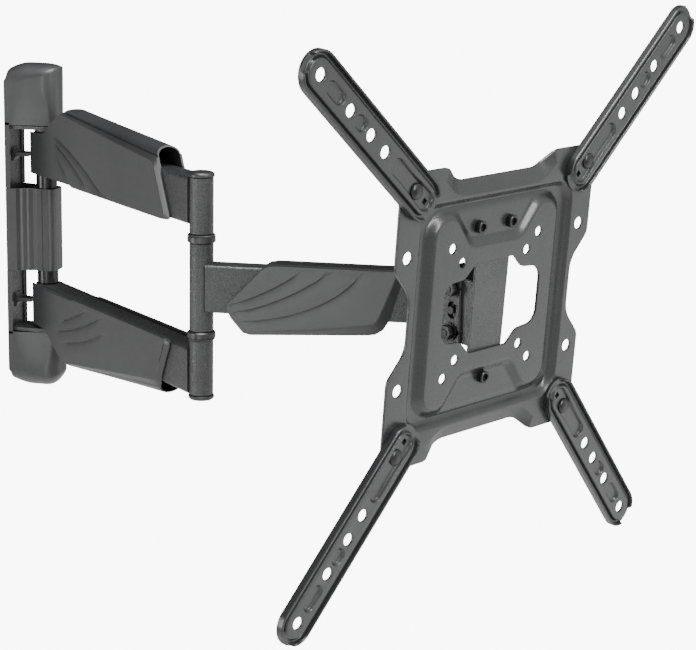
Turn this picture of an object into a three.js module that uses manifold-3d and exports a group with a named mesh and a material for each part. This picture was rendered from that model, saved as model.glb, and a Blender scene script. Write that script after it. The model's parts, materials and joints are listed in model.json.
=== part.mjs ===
// Full-motion television wall mount, millimetres, +Z up.
// The wall is the plane y = 0 and the mount reaches out towards -Y. The origin is the middle of the
// wall plate's back face. Every mesh is one separate piece of the assembly, placed in nested groups
// that follow the joints: wall, main arm, forearm, head, tilt, level and extension arm.

import * as THREE from 'three';
import { mergeVertices } from 'three/addons/utils/BufferGeometryUtils.js';
import Module from 'manifold-3d';

const wasm = await Module();
wasm.setup();

// ---------------------------------------------------------------- driving dimensions

const GAP = 0.3;                  // clearance between touching pieces

const SHEET = 2.5;                // wall plate and bracket sheet
const WALL_HALF_WIDTH = 15.2;
const WALL_HALF_HEIGHT = 128;
const WALL_FLANGE = 4;            // depth of the plate's turned edges
const PIVOT_OUT = 32.25;          // wall pivot axis in front of the wall
const EAR_RADIUS = 14;
const EAR_LOW = 89.6;             // underside of the upper ear
const EAR_THICK = 3;
const COVER_HALF_WIDTH = 17.2;
const COVER_WALL = 1.7;
const COVER_LOW = 93.2;           // lower edge of the top cover
const COVER_HIGH = 147.5;         // crest of its arched top
const COVER_ARCH = 17.4;          // radius of the arch
const MID_COVER_HALF = 37;

const PIN_RADIUS = 5;             // wall pivot pin and swivel bolt
const TUBE_HEIGHT = 38;           // rectangular arm tube, 38 x 20 x 2
const TUBE_HALF_WIDTH = 10;
const TUBE_WALL = 2;
const ARM_TOP = 87.1;             // top of the upper arm tube, mirrored for the lower arm
const ARM_LOW = ARM_TOP - TUBE_HEIGHT + 0.4;
const ARM_LENGTH = 284;           // wall pivot to elbow column
const COLUMN_RADIUS = 9.5;
const COLUMN_PIN_RADIUS = 6.2;
const PIVOT_TUBE_RADIUS = 9.3;
const BARREL_RADIUS = 11;
const RING_RADIUS = 11.2;
const FOREARM_LENGTH = 185;       // elbow column to head swivel
const FOREARM_HALF = 19;
const MID_COLUMN_HALF = 35.2;

const HEAD_DEPTH = 55;            // head swivel axis to the front of the screen plate
const TILT_DEPTH = 20;            // tilt axis behind the front of the screen plate
const PLATE_RAISE = 6;            // plate centre above the tilt axis
const GUIDE_PITCH = 17;           // guide bolts above and below the tilt axis
const PLATE_SHEET = 2;            // screen plate and extension arm sheet
const RECESS_DEPTH = 4;           // pressed recess in the screen plate
const ARM_BOLT_PITCH = 100;       // extension arm bolts, half of 200 x 200
const ARM_HOLES = [50, 70.7, 100, 141.4];

// rest pose, degrees
const WALL_SWING = -43;
const ELBOW = 48;
const HEAD_SWIVEL = -34;
const TILT = 4.5;
const LEVEL = 0.6;
const EXTENSION_ANGLES = { top_left: 139.8, top_right: 43.8, bottom_left: -131.7, bottom_right: -49.2 };

const deg = THREE.MathUtils.degToRad;

// ---------------------------------------------------------------- solids

function toManifold(geometry) {
  geometry.deleteAttribute('normal');
  geometry.deleteAttribute('uv');
  const merged = mergeVertices(geometry, 1e-4);
  return new wasm.Manifold(new wasm.Mesh({
    numProp: 3,
    vertProperties: merged.attributes.position.array,
    triVerts: merged.index.array,
  }));
}

function toGeometry(manifold) {
  const mesh = manifold.getMesh();
  const geometry = new THREE.BufferGeometry();
  geometry.setAttribute('position', new THREE.BufferAttribute(mesh.vertProperties, 3));
  geometry.setIndex(new THREE.BufferAttribute(mesh.triVerts, 1));
  return geometry;
}

const fuse = (first, ...rest) => rest.reduce((sum, item) => sum.add(item), first);
const cut = (first, ...rest) => rest.reduce((sum, item) => sum.subtract(item), first);
const common = (first, ...rest) => rest.reduce((sum, item) => sum.intersect(item), first);

function box(x0, x1, y0, y1, z0, z1) {
  const geometry = new THREE.BoxGeometry(x1 - x0, y1 - y0, z1 - z0);
  return toManifold(geometry.translate((x0 + x1) / 2, (y0 + y1) / 2, (z0 + z1) / 2));
}

function rod(radius, z0, z1, x = 0, y = 0, sides = 24) {
  const geometry = new THREE.CylinderGeometry(radius, radius, z1 - z0, sides).rotateX(Math.PI / 2);
  return toManifold(geometry.translate(x, y, (z0 + z1) / 2));
}

function rodAlongY(radius, y0, y1, x, z, sides = 16) {
  const geometry = new THREE.CylinderGeometry(radius, radius, y1 - y0, sides);
  return toManifold(geometry.translate(x, (y0 + y1) / 2, z));
}

const hex = (radius, z0, z1, x = 0, y = 0) => rod(radius, z0, z1, x, y, 6);

function lathe(profile, sides = 28) {
  const points = profile.map(([radius, height]) => new THREE.Vector2(radius, height));
  return toManifold(new THREE.LatheGeometry(points, sides).rotateX(Math.PI / 2));
}

// A flat outline in (x, y) made solid from z0 to z1.
function slab(shape, z0, z1, curveSegments = 6) {
  const geometry = new THREE.ExtrudeGeometry(shape, { depth: z1 - z0, bevelEnabled: false, curveSegments });
  return toManifold(geometry.translate(0, 0, z0));
}

// A side view outline in (x, z) made solid from y0 to y1.
function sideSlab(shape, y0, y1, curveSegments = 5) {
  const geometry = new THREE.ExtrudeGeometry(shape, { depth: y1 - y0, bevelEnabled: false, curveSegments });
  return toManifold(geometry.rotateX(Math.PI / 2).translate(0, y1, 0));
}

// A cross-section outline in (y, z) made solid from x0 to x1.
function bar(shape, x0, x1, curveSegments = 5) {
  const geometry = new THREE.ExtrudeGeometry(shape, { depth: x1 - x0, bevelEnabled: false, curveSegments });
  geometry.applyQuaternion(new THREE.Quaternion(0.5, 0.5, 0.5, 0.5));
  return toManifold(geometry.translate(x0, 0, 0));
}

function polygon(points) {
  return new THREE.Shape(points.map(([x, y]) => new THREE.Vector2(x, y)));
}

function roundedRectangle(halfWidth, halfHeight, radius) {
  const shape = new THREE.Shape();
  shape.absarc(halfWidth - radius, halfHeight - radius, radius, 0, Math.PI / 2, false);
  shape.absarc(radius - halfWidth, halfHeight - radius, radius, Math.PI / 2, Math.PI, false);
  shape.absarc(radius - halfWidth, radius - halfHeight, radius, Math.PI, 1.5 * Math.PI, false);
  shape.absarc(halfWidth - radius, radius - halfHeight, radius, 1.5 * Math.PI, 2 * Math.PI, false);
  return shape;
}

// A slot with round ends between x0 and x1, measured at the ends' centres.
function capsule(x0, x1, radius, endRadius = radius) {
  const shape = new THREE.Shape();
  shape.absarc(x0, 0, radius, Math.PI / 2, 1.5 * Math.PI, false);
  shape.absarc(x1, 0, endRadius, -Math.PI / 2, Math.PI / 2, false);
  return shape;
}

const upsideDown = (manifold) => manifold.mirror([0, 0, 1]);

// ---------------------------------------------------------------- materials

function material(color, roughness, metalness) {
  return () => new THREE.MeshStandardMaterial({ color, roughness, metalness });
}

const powderCoat = material(0x2b2c2d, 0.55, 0.3);
const pressedSteel = material(0x343536, 0.5, 0.3);
const satinPlastic = material(0x2f3031, 0.5, 0);
const blackSteel = material(0x101011, 0.35, 0.6);
const nylon = material(0x18181a, 0.6, 0);
const zincSteel = material(0x8c9094, 0.35, 0.9);

function add(parent, name, manifold, makeMaterial) {
  const mesh = new THREE.Mesh(toGeometry(manifold), makeMaterial());
  mesh.name = name;
  parent.add(mesh);
  return mesh;
}

function frame(parent, x, y, z) {
  const group = new THREE.Group();
  group.position.set(x, y, z);
  parent.add(group);
  return group;
}

// ---------------------------------------------------------------- wall bracket

function wallPlate() {
  const edge = WALL_HALF_WIDTH;
  const height = WALL_HALF_HEIGHT;
  const back = box(-edge, edge, -SHEET, 0, -height, height);
  const left = box(-edge, SHEET - edge, -WALL_FLANGE, 0, -height, height);
  const right = box(edge - SHEET, edge, -WALL_FLANGE, 0, -height, height);

  const earShape = new THREE.Shape();
  earShape.moveTo(EAR_RADIUS, -1);
  earShape.lineTo(-EAR_RADIUS, -1);
  earShape.absarc(0, -PIVOT_OUT, EAR_RADIUS, Math.PI, 2 * Math.PI, false);
  const ear = slab(earShape, EAR_LOW, EAR_LOW + EAR_THICK, 10);

  const tongue = bar(tongueShape(), -6, 6);
  const holes = rod(PIN_RADIUS + GAP, -120, 120, 0, -PIVOT_OUT);
  const lagSlots = [115, 22, -22, -115].map((z) => lagSlot(z));
  return cut(fuse(back, left, right, ear, upsideDown(ear), tongue, upsideDown(tongue)), holes, ...lagSlots);
}

// Side view of the tongue behind each arm's end: thin, with a flared root on the plate.
function tongueShape() {
  const height = 66;
  const half = 1.6;
  const flare = 4.5;
  const root = -1;
  const tip = 0.8 + EAR_RADIUS - PIVOT_OUT;
  const shape = new THREE.Shape();
  shape.moveTo(root, height - half - flare);
  shape.lineTo(root - SHEET, height - half - flare);
  shape.quadraticCurveTo(root - SHEET - 1, height - half, root - SHEET - flare, height - half);
  shape.lineTo(tip, height - half);
  shape.lineTo(tip, height + half);
  shape.lineTo(root - SHEET - flare, height + half);
  shape.quadraticCurveTo(root - SHEET - 1, height + half, root - SHEET, height + half + flare);
  shape.lineTo(root, height + half + flare);
  return shape;
}

function lagSlot(z) {
  const length = 8;
  const radius = 4;
  return fuse(
    rodAlongY(radius, -9, 1, 0, z + length / 2),
    rodAlongY(radius, -9, 1, 0, z - length / 2),
    box(-radius, radius, -9, 1, z - length / 2, z + length / 2),
  );
}

// Plan outline of the end covers: flat sides against the wall and a round front over the pivot.
function coverPlan(halfWidth, sideDepth, radius) {
  const shape = new THREE.Shape();
  shape.moveTo(-halfWidth, 0);
  shape.lineTo(-halfWidth, -sideDepth);
  shape.absarc(0, -PIVOT_OUT, radius, deg(170), deg(370), false);
  shape.lineTo(halfWidth, -sideDepth);
  shape.lineTo(halfWidth, 0);
  return shape;
}

// The plan outline stood up from low and closed by a round arch across the top.
function archedBlock(halfWidth, sideDepth, noseRadius, archRadius, low) {
  const spring = COVER_HIGH - COVER_ARCH;
  return common(
    slab(coverPlan(halfWidth, sideDepth, noseRadius), low, COVER_HIGH, 10),
    fuse(rodAlongY(archRadius, -60, 1, 0, spring, 80), box(-30, 30, -60, 1, low, spring)),
  );
}

function endCover() {
  const nose = 15.6;
  const sideDepth = 11;
  const inner = COVER_HALF_WIDTH - COVER_WALL;
  const outside = archedBlock(COVER_HALF_WIDTH, sideDepth, nose, COVER_ARCH, COVER_LOW);
  const cavity = archedBlock(inner, sideDepth - 1, nose - 2.2, COVER_ARCH - COVER_WALL, COVER_LOW - 1);
  const stripLow = MID_COVER_HALF + GAP;
  const strip = box(inner, COVER_HALF_WIDTH, -WALL_FLANGE - 0.6, 0, stripLow, COVER_LOW + 5);
  const backOpening = box(-inner, inner, -5, 2, COVER_LOW - 1, WALL_HALF_HEIGHT + 1);
  return cut(fuse(outside, strip, strip.mirror([1, 0, 0])), cavity, backOpening);
}

// Plan outline of the cable cover between the arms: a box bulge round the pivot tube.
function middlePlan(halfWidth, sideDepth, bulge, front, corner) {
  const shape = new THREE.Shape();
  shape.moveTo(-halfWidth, 0);
  shape.lineTo(-halfWidth, -sideDepth);
  shape.lineTo(-bulge, -sideDepth - 16);
  shape.absarc(corner - bulge, corner - front, corner, Math.PI, 1.5 * Math.PI, false);
  shape.absarc(bulge - corner, corner - front, corner, 1.5 * Math.PI, 2 * Math.PI, false);
  shape.lineTo(bulge, -sideDepth - 16);
  shape.lineTo(halfWidth, -sideDepth);
  shape.lineTo(halfWidth, 0);
  return shape;
}

function middleCover() {
  const outside = slab(middlePlan(COVER_HALF_WIDTH, 10, 11.5, 43.4, 5), -MID_COVER_HALF, MID_COVER_HALF);
  const inner = COVER_HALF_WIDTH - COVER_WALL;
  const inside = slab(middlePlan(inner, 9.4, 10.1, 42, 3.8), -MID_COVER_HALF - 1, MID_COVER_HALF + 1);
  return cut(outside, inside, box(-inner, inner, -5, 2, -MID_COVER_HALF - 1, MID_COVER_HALF + 1));
}

function buildWallBracket(root) {
  const cover = endCover();
  const washerLow = ARM_TOP + GAP;
  const washer = cut(rod(10, washerLow, EAR_LOW - GAP), rod(PIN_RADIUS + GAP, 80, 95));
  const headLow = EAR_LOW + EAR_THICK + GAP;
  const pin = fuse(rod(PIN_RADIUS, -headLow - 6, headLow + 1), hex(8.5, headLow, headLow + 6));
  const nut = cut(hex(8.5, -headLow - 5.5, -headLow), rod(PIN_RADIUS + GAP, -headLow - 6, 0));
  const pivot = frame(root, 0, -PIVOT_OUT, 0);

  add(root, 'wall_plate', wallPlate(), powderCoat);
  add(root, 'top_wall_cover', cover, satinPlastic);
  add(root, 'bottom_wall_cover', upsideDown(cover), satinPlastic);
  add(root, 'middle_cable_cover', middleCover(), satinPlastic);
  add(pivot, 'wall_pivot_pin', pin, zincSteel);
  add(pivot, 'wall_pivot_nut', nut, zincSteel);
  add(pivot, 'wall_pivot_washer_top', washer, nylon);
  add(pivot, 'wall_pivot_washer_bottom', upsideDown(washer), nylon);
}

// ---------------------------------------------------------------- main arm

// The upper arm: rectangular tube, barrel round the wall pin and the column section at the elbow.
function armWeldment() {
  const columnLow = MID_COLUMN_HALF + 7.1;
  const tube = box(6, ARM_LENGTH - 4, -TUBE_HALF_WIDTH, TUBE_HALF_WIDTH, ARM_LOW, ARM_TOP);
  const barrel = rod(BARREL_RADIUS, ARM_LOW, ARM_TOP);
  const column = rod(COLUMN_RADIUS, columnLow, ARM_TOP, ARM_LENGTH);
  const bore = rod(PIN_RADIUS + 0.5, ARM_LOW - 1, ARM_TOP + 1);
  const columnBore = rod(COLUMN_PIN_RADIUS + GAP, columnLow - 1, ARM_TOP + 1, ARM_LENGTH);
  const inside = box(0, ARM_LENGTH, TUBE_WALL - TUBE_HALF_WIDTH, TUBE_HALF_WIDTH - TUBE_WALL,
    ARM_LOW + TUBE_WALL, ARM_TOP - TUBE_WALL);
  return cut(fuse(tube, barrel, column), bore, columnBore, inside);
}

// Side outline of the upper arm's cover. drop lowers the top edge, to outline the space inside.
function armCoverOutline(drop) {
  const shape = new THREE.Shape();
  shape.moveTo(-EAR_RADIUS - 1, ARM_LOW + 0.7);
  shape.lineTo(-EAR_RADIUS - 1, ARM_TOP - drop);
  shape.lineTo(17, ARM_TOP + 0.6 - drop);
  shape.quadraticCurveTo(30, 101 - drop, 60, 113.7 - drop);
  shape.quadraticCurveTo(140, 111 - drop, 228, 103 - drop);
  shape.lineTo(253 - drop, 52);
  shape.quadraticCurveTo(252, 47.8, 244, 47.5);
  shape.lineTo(80, 48.6);
  shape.quadraticCurveTo(77, 48.8, 75, ARM_LOW + 0.7);
  return shape;
}

// Cross-section with flat flanks, a bevelled shoulder and a round ridge along the top.
function armCoverSection(half, ridge, low) {
  const shape = new THREE.Shape();
  shape.moveTo(half, low);
  shape.lineTo(half, ridge - 15);
  shape.lineTo(half - 2.6, ridge - 8);
  shape.quadraticCurveTo(half - 3.5, ridge, 0, ridge);
  shape.quadraticCurveTo(3.5 - half, ridge, 2.6 - half, ridge - 8);
  shape.lineTo(-half, ridge - 15);
  shape.lineTo(-half, low);
  return shape;
}

function armCover() {
  const half = 13.6;
  const wall = 2.2;
  const slope = (102 - 113.7) / (228 - 60);
  const ridge = 114.5;
  const section = (halfWidth, top) => {
    const solid = bar(armCoverSection(halfWidth, top, 30), -40, 270);
    return solid.transform([1, 0, slope, 0, 0, 1, 0, 0, 0, 0, 1, 0, 0, 0, -60 * slope, 1]);
  };
  const plan = slab(capsule(0, 300, EAR_RADIUS), 30, 130, 10);
  const outside = common(sideSlab(armCoverOutline(0), -20, 20, 8), section(half, ridge), plan);
  const hollow = common(
    sideSlab(armCoverOutline(wall), -20, 20, 8),
    section(half - wall, ridge - wall),
    slab(capsule(0, 300, EAR_RADIUS - 2.4), 30, 130, 10),
  );
  const tubeSpace = box(0, 300, -TUBE_HALF_WIDTH - GAP, TUBE_HALF_WIDTH + GAP, 30, ARM_TOP + GAP);
  const barrelSpace = rod(BARREL_RADIUS + 0.4, 30, ARM_TOP + 12);
  const openEnd = common(
    box(200, 300, wall - half, half - wall, ARM_TOP, 130),
    section(half - wall, ridge - wall),
  );
  return cut(outside, hollow, tubeSpace, barrelSpace, openEnd);
}

function buildMainArm(arm) {
  const upper = armWeldment();
  const cover = armCover();
  const columnCap = lathe([[0, 87.4], [10.3, 87.4], [10.3, 89.4], [9.4, 90.8], [6, 91.5], [0, 91.8]]);
  const ring = cut(
    lathe([[0, 35.5], [10.5, 35.5], [RING_RADIUS, 36.2], [RING_RADIUS, 41.3], [10.5, 42], [0, 42]]),
    rod(COLUMN_PIN_RADIUS + GAP, 30, 50),
  );
  const tubeHalf = ARM_LOW - GAP;
  const pivotTube = cut(rod(PIVOT_TUBE_RADIUS, -tubeHalf, tubeHalf), rod(PIN_RADIUS + 0.5, -60, 60));
  const column = frame(arm, ARM_LENGTH, 0, 0);

  add(arm, 'upper_arm', upper, powderCoat);
  add(arm, 'lower_arm', upsideDown(upper), powderCoat);
  add(arm, 'upper_arm_cover', cover, satinPlastic);
  add(arm, 'lower_arm_cover', upsideDown(cover), satinPlastic);
  add(arm, 'wall_pivot_tube', pivotTube, blackSteel);
  add(column, 'column_pin', rod(COLUMN_PIN_RADIUS, -ARM_TOP, ARM_TOP), zincSteel);
  add(column, 'column_top_cap', columnCap, nylon);
  add(column, 'column_bottom_cap', upsideDown(columnCap), nylon);
  add(column, 'upper_column_ring', ring, nylon);
  add(column, 'lower_column_ring', upsideDown(ring), nylon);
}

// ---------------------------------------------------------------- forearm

function forearmWeldment() {
  const tube = box(4, FOREARM_LENGTH - 5, -TUBE_HALF_WIDTH, TUBE_HALF_WIDTH, -FOREARM_HALF, FOREARM_HALF);
  const column = rod(COLUMN_RADIUS, -MID_COLUMN_HALF, MID_COLUMN_HALF);
  const barrel = rod(BARREL_RADIUS, -FOREARM_HALF, FOREARM_HALF, FOREARM_LENGTH);
  const inside = box(0, FOREARM_LENGTH, TUBE_WALL - TUBE_HALF_WIDTH, TUBE_HALF_WIDTH - TUBE_WALL,
    TUBE_WALL - FOREARM_HALF, FOREARM_HALF - TUBE_WALL);
  const bore = rod(COLUMN_PIN_RADIUS + GAP, -50, 50);
  const barrelBore = rod(PIN_RADIUS + 0.5, -50, 50, FOREARM_LENGTH);
  return cut(fuse(tube, column, barrel), inside, bore, barrelBore);
}

function forearmCoverOutline() {
  const shape = new THREE.Shape();
  shape.moveTo(22.5, -14);
  shape.quadraticCurveTo(23, -20, 31, -28);
  shape.quadraticCurveTo(36, -34, 44, -34.5);
  shape.lineTo(134, -29.8);
  shape.quadraticCurveTo(146, -29, 151, -16.6);
  shape.lineTo(161, 18);
  shape.quadraticCurveTo(161.5, 21.5, 158, 21.5);
  shape.lineTo(58, 21.5);
  shape.quadraticCurveTo(53, 21.5, 50, 18.5);
  shape.lineTo(25, -8);
  return shape;
}

function forearmCover() {
  const half = 13;
  const wall = 2.4;
  const outline = forearmCoverOutline();
  const low = -36;
  const section = polygon([
    [half, 30], [-half, 30], [-half, -20], [3.5 - half, -30], [3.5 - half, low],
    [half - 3.5, low], [half - 3.5, -30], [half, -20],
  ]);
  const outside = common(sideSlab(outline, -20, 20), bar(section, 0, 200));
  const inner = half - wall;
  const channel = sideSlab(outline, wall + 2 - inner, inner - wall - 2).translate([0, 0, wall]);
  const tubeSpace = box(0, 200, -TUBE_HALF_WIDTH - GAP, TUBE_HALF_WIDTH + GAP, -FOREARM_HALF - GAP, 60);
  return cut(outside, channel, tubeSpace);
}

function buildForearm(forearm) {
  const end = frame(forearm, FOREARM_LENGTH, 0, 0);
  const washer = cut(rod(10.5, FOREARM_HALF + GAP, 20.7), rod(PIN_RADIUS + GAP, 10, 30));
  add(forearm, 'forearm', forearmWeldment(), powderCoat);
  add(forearm, 'forearm_cover', forearmCover(), satinPlastic);
  add(end, 'swivel_washer_top', washer, nylon);
  add(end, 'swivel_washer_bottom', upsideDown(washer), nylon);
}

// ---------------------------------------------------------------- head

const CHEEK_OUT = 22;             // outside of the swivel bracket's cheeks
const CHEEK_THICK = 2.5;
const TILT_X = HEAD_DEPTH - TILT_DEPTH;

function swivelBracket() {
  const webX = 13;
  const top = 28;
  const low = -30;
  const web = box(webX, webX + SHEET, -CHEEK_OUT, CHEEK_OUT, low, top);
  const cheekShape = new THREE.Shape();
  cheekShape.moveTo(webX, low);
  cheekShape.lineTo(TILT_X, low);
  cheekShape.absarc(TILT_X, low + 7, 7, -Math.PI / 2, 0, false);
  cheekShape.absarc(TILT_X, top - 7, 7, 0, Math.PI / 2, false);
  cheekShape.lineTo(webX, top);
  const cheeks = [
    sideSlab(cheekShape, -CHEEK_OUT, CHEEK_THICK - CHEEK_OUT),
    sideSlab(cheekShape, CHEEK_OUT - CHEEK_THICK, CHEEK_OUT),
  ];
  const earShape = new THREE.Shape();
  earShape.absarc(0, 0, 12, Math.PI / 2, 1.5 * Math.PI, false);
  earShape.lineTo(webX + 1, -18);
  earShape.lineTo(webX + 1, 18);
  const ear = slab(earShape, 21, 24);
  const swivelHole = rod(PIN_RADIUS + GAP, -40, 40);
  const pivotHole = rodAlongY(3.3, 0, 40, TILT_X, 0);
  const window = fuse(
    rodAlongY(4.1, -40, 0, TILT_X, 2.7),
    rodAlongY(4.1, -40, 0, TILT_X, -2.7),
    box(TILT_X - 4.1, TILT_X + 4.1, -40, 0, -2.7, 2.7),
  );
  const guideSlots = [GUIDE_PITCH, -GUIDE_PITCH].map((z) => sideSlab(guideSlot(z), -40, 40));
  return cut(fuse(web, ...cheeks, ear, upsideDown(ear)), swivelHole, pivotHole, window, ...guideSlots);
}

function guideSlot(z) {
  const radius = 3.6;
  const travel = 3.5;
  const shape = new THREE.Shape();
  shape.absarc(TILT_X - travel, z, radius, Math.PI / 2, 1.5 * Math.PI, false);
  shape.absarc(TILT_X + travel, z, radius, -Math.PI / 2, Math.PI / 2, false);
  return shape;
}

function buildHead(head) {
  const headLow = 24 + GAP;
  const bolt = fuse(rod(PIN_RADIUS, -headLow - 6, headLow + 1), hex(8, headLow, headLow + 5));
  const nut = cut(hex(8, -headLow - 5, -headLow), rod(PIN_RADIUS + GAP, -headLow - 6, 0));
  add(head, 'swivel_bracket', swivelBracket(), powderCoat);
  add(head, 'swivel_bolt', bolt, blackSteel);
  add(head, 'swivel_nut', nut, blackSteel);
}

// ---------------------------------------------------------------- tilt carrier

const TAB_HALF_WIDTH = 30;
const TOP_SCREWS = { x: 18, y: 62 };
const BOTTOM_SCREW = -58;
const CARRIER_FRONT = PLATE_SHEET + GAP;          // carrier behind the plate's middle panel
const TAB_FRONT = RECESS_DEPTH + PLATE_SHEET + GAP;

// Side view of the carrier's web. x is forward of the tilt axis, z above it.
function carrierProfile() {
  const front = TILT_DEPTH - CARRIER_FRONT;
  const tab = TILT_DEPTH - TAB_FRONT;
  const top = PLATE_RAISE + 72;
  const low = PLATE_RAISE - 68;
  const joggleTop = PLATE_RAISE + 42;
  const joggleLow = PLATE_RAISE - 42;
  return polygon([
    [tab, top], [tab, joggleTop + 4.5], [front, joggleTop], [front, joggleLow], [tab, joggleLow - 4.5],
    [tab, low], [tab - SHEET, low], [tab - SHEET, joggleLow - 5.5], [front - SHEET, joggleLow - 1],
    [front - SHEET, joggleTop + 1], [tab - SHEET, joggleTop + 5.5], [tab - SHEET, top],
  ]);
}

function tiltCarrier() {
  const outer = CHEEK_OUT - CHEEK_THICK - 0.8;
  const web = sideSlab(carrierProfile(), -TAB_HALF_WIDTH, TAB_HALF_WIDTH);
  const waist = [-1, 1].map((side) => {
    const inner = side * outer;
    const outside = side * 40;
    return box(-10, 30, Math.min(inner, outside), Math.max(inner, outside), PLATE_RAISE - 48, PLATE_RAISE + 50);
  });
  const cheekShape = new THREE.Shape();
  cheekShape.moveTo(TILT_DEPTH - CARRIER_FRONT - 1, -25);
  cheekShape.lineTo(TILT_DEPTH - CARRIER_FRONT - 1, 25);
  cheekShape.absarc(0, 17, 8, Math.PI / 2, Math.PI, false);
  cheekShape.absarc(0, -17, 8, Math.PI, 1.5 * Math.PI, false);
  const cheeks = [
    sideSlab(cheekShape, -outer, SHEET - outer),
    sideSlab(cheekShape, outer - SHEET, outer),
  ];
  const holes = [GUIDE_PITCH, 0, -GUIDE_PITCH].map((z) => rodAlongY(3.3, -40, 40, 0, z));
  const slots = [-TOP_SCREWS.x, TOP_SCREWS.x].map((y) => levelSlot(y, TOP_SCREWS.y));
  slots.push(levelSlot(0, BOTTOM_SCREW));
  return cut(fuse(cut(web, ...waist), ...cheeks), ...holes, ...slots);
}

// Slot for a levelling screw, along the circle that the screw follows about the plate's centre.
function levelSlot(y, height) {
  const travel = 3.6;
  const shape = new THREE.Shape();
  shape.absarc(-travel, 0, 3.5, Math.PI / 2, 1.5 * Math.PI, false);
  shape.absarc(travel, 0, 3.5, -Math.PI / 2, Math.PI / 2, false);
  const turn = Math.atan2(height, y) * 180 / Math.PI - 90;
  return bar(shape, -1, 30).rotate([turn, 0, 0]).translate([0, y, PLATE_RAISE + height]);
}

function buildTilt(tilt) {
  add(tilt, 'tilt_carrier', tiltCarrier(), powderCoat);
  const names = { upper: GUIDE_PITCH, lower: -GUIDE_PITCH };
  for (const [name, z] of Object.entries(names)) {
    const head = rodAlongY(5.8, CHEEK_OUT + GAP, CHEEK_OUT + 4.6, 0, z, 6);
    const shank = rodAlongY(3, -29, CHEEK_OUT + 1, 0, z);
    const washerOut = -CHEEK_OUT - 2;
    const washer = cut(rodAlongY(7, washerOut, -CHEEK_OUT - GAP, 0, z), rodAlongY(3.3, -30, 0, 0, z));
    const nut = cut(rodAlongY(5.8, -28.4, washerOut - GAP, 0, z, 6), rodAlongY(3.3, -30, 0, 0, z));
    add(tilt, `tilt_guide_bolt_${name}`, fuse(shank, head), blackSteel);
    add(tilt, `tilt_guide_washer_${name}`, washer, blackSteel);
    add(tilt, `tilt_guide_nut_${name}`, nut, blackSteel);
  }
}

function buildKnob(knob) {
  const boltEnd = 26.8;
  const low = 23.6;
  const high = 27.8;
  const lobes = new THREE.Shape();
  const steps = 60;
  for (let step = 0; step < steps; step += 1) {
    const angle = 2 * Math.PI * step / steps;
    const radius = 10.3 + 0.5 * Math.cos(6 * angle);
    const point = [radius * Math.cos(angle), radius * Math.sin(angle)];
    if (step === 0) lobes.moveTo(...point);
    else lobes.lineTo(...point);
  }
  const grip = cut(sideSlab(lobes, low, high), rodAlongY(3.3, low - 1, boltEnd + GAP, 0, 0));
  const washer = cut(rodAlongY(9, CHEEK_OUT + GAP, low - GAP, 0, 0), rodAlongY(3.3, 0, 40, 0, 0));
  add(knob, 'tilt_knob', grip, nylon);
  add(knob, 'tilt_knob_bolt', rodAlongY(3, -24, boltEnd, 0, 0), blackSteel);
  add(knob, 'tilt_knob_washer', washer, blackSteel);
}

// ---------------------------------------------------------------- screen plate

// Outline of the screen plate: four corner lugs joined by waisted edges.
function plateOutline() {
  const side = 112;
  const corner = 14;
  const shape = new THREE.Shape();
  for (const [sx, sy] of [[1, 1], [-1, 1], [-1, -1], [1, -1]]) {
    const start = [];
    start.push(() => shape.quadraticCurveTo(sx * 97, sy * 32, sx * 108, sy * 39));
    start.push(() => shape.quadraticCurveTo(sx * side, sy * 43, sx * side, sy * 52));
    start.push(() => shape.lineTo(sx * side, sy * (side - corner)));
    start.push(() => shape.quadraticCurveTo(sx * side, sy * side, sx * (side - corner), sy * side));
    start.push(() => shape.lineTo(sx * 64, sy * side));
    start.push(() => shape.quadraticCurveTo(sx * 56, sy * side, sx * 48, sy * 105));
    const back = [];
    back.push(() => shape.lineTo(sx * 64, sy * side));
    back.push(() => shape.lineTo(sx * (side - corner), sy * side));
    back.push(() => shape.quadraticCurveTo(sx * side, sy * side, sx * side, sy * (side - corner)));
    back.push(() => shape.lineTo(sx * side, sy * 52));
    back.push(() => shape.quadraticCurveTo(sx * side, sy * 43, sx * 108, sy * 39));
    back.push(() => shape.quadraticCurveTo(sx * 97, sy * 32, sx * 96, sy * 24));
    if (sx * sy > 0) {
      if (sx > 0) shape.moveTo(sx * 96, sy * 24);
      else shape.quadraticCurveTo(sx * 94.5, 0, sx * 96, sy * 24);
      start.forEach((step) => step());
    } else {
      shape.quadraticCurveTo(0, sy * 97, sx * 48, sy * 105);
      shape.quadraticCurveTo(sx * 56, sy * side, sx * 64, sy * side);
      back.forEach((step) => step());
    }
  }
  shape.quadraticCurveTo(94.5, 0, 96, 24);
  return shape;
}

// The raised middle panel: a rounded square with a notch for the screws at top and bottom.
function panelOutline(inset) {
  const width = 74 - inset;
  const height = 75 - inset;
  const notchFloor = 51 - inset;
  const notchTop = 40 + inset;
  const notchLow = 26 + inset;
  const corner = 12;
  const shape = new THREE.Shape();
  shape.moveTo(width, 0);
  shape.lineTo(width, height - corner);
  shape.quadraticCurveTo(width, height, width - corner, height);
  shape.lineTo(notchTop + 7, height);
  shape.quadraticCurveTo(notchTop, height, notchTop - 5, (height + notchFloor) / 2);
  shape.quadraticCurveTo(notchLow + 3, notchFloor, notchLow - 8, notchFloor);
  shape.lineTo(8 - notchLow, notchFloor);
  shape.quadraticCurveTo(-notchLow - 3, notchFloor, 5 - notchTop, (height + notchFloor) / 2);
  shape.quadraticCurveTo(-notchTop, height, -notchTop - 7, height);
  shape.lineTo(corner - width, height);
  shape.quadraticCurveTo(-width, height, -width, height - corner);
  shape.lineTo(-width, 0);
  return shape;
}

function middlePanel(inset, h0, h1) {
  const upper = slab(panelOutline(inset), h0, h1, 5);
  return fuse(upper, upper.rotate([0, 0, 180]));
}

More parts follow.
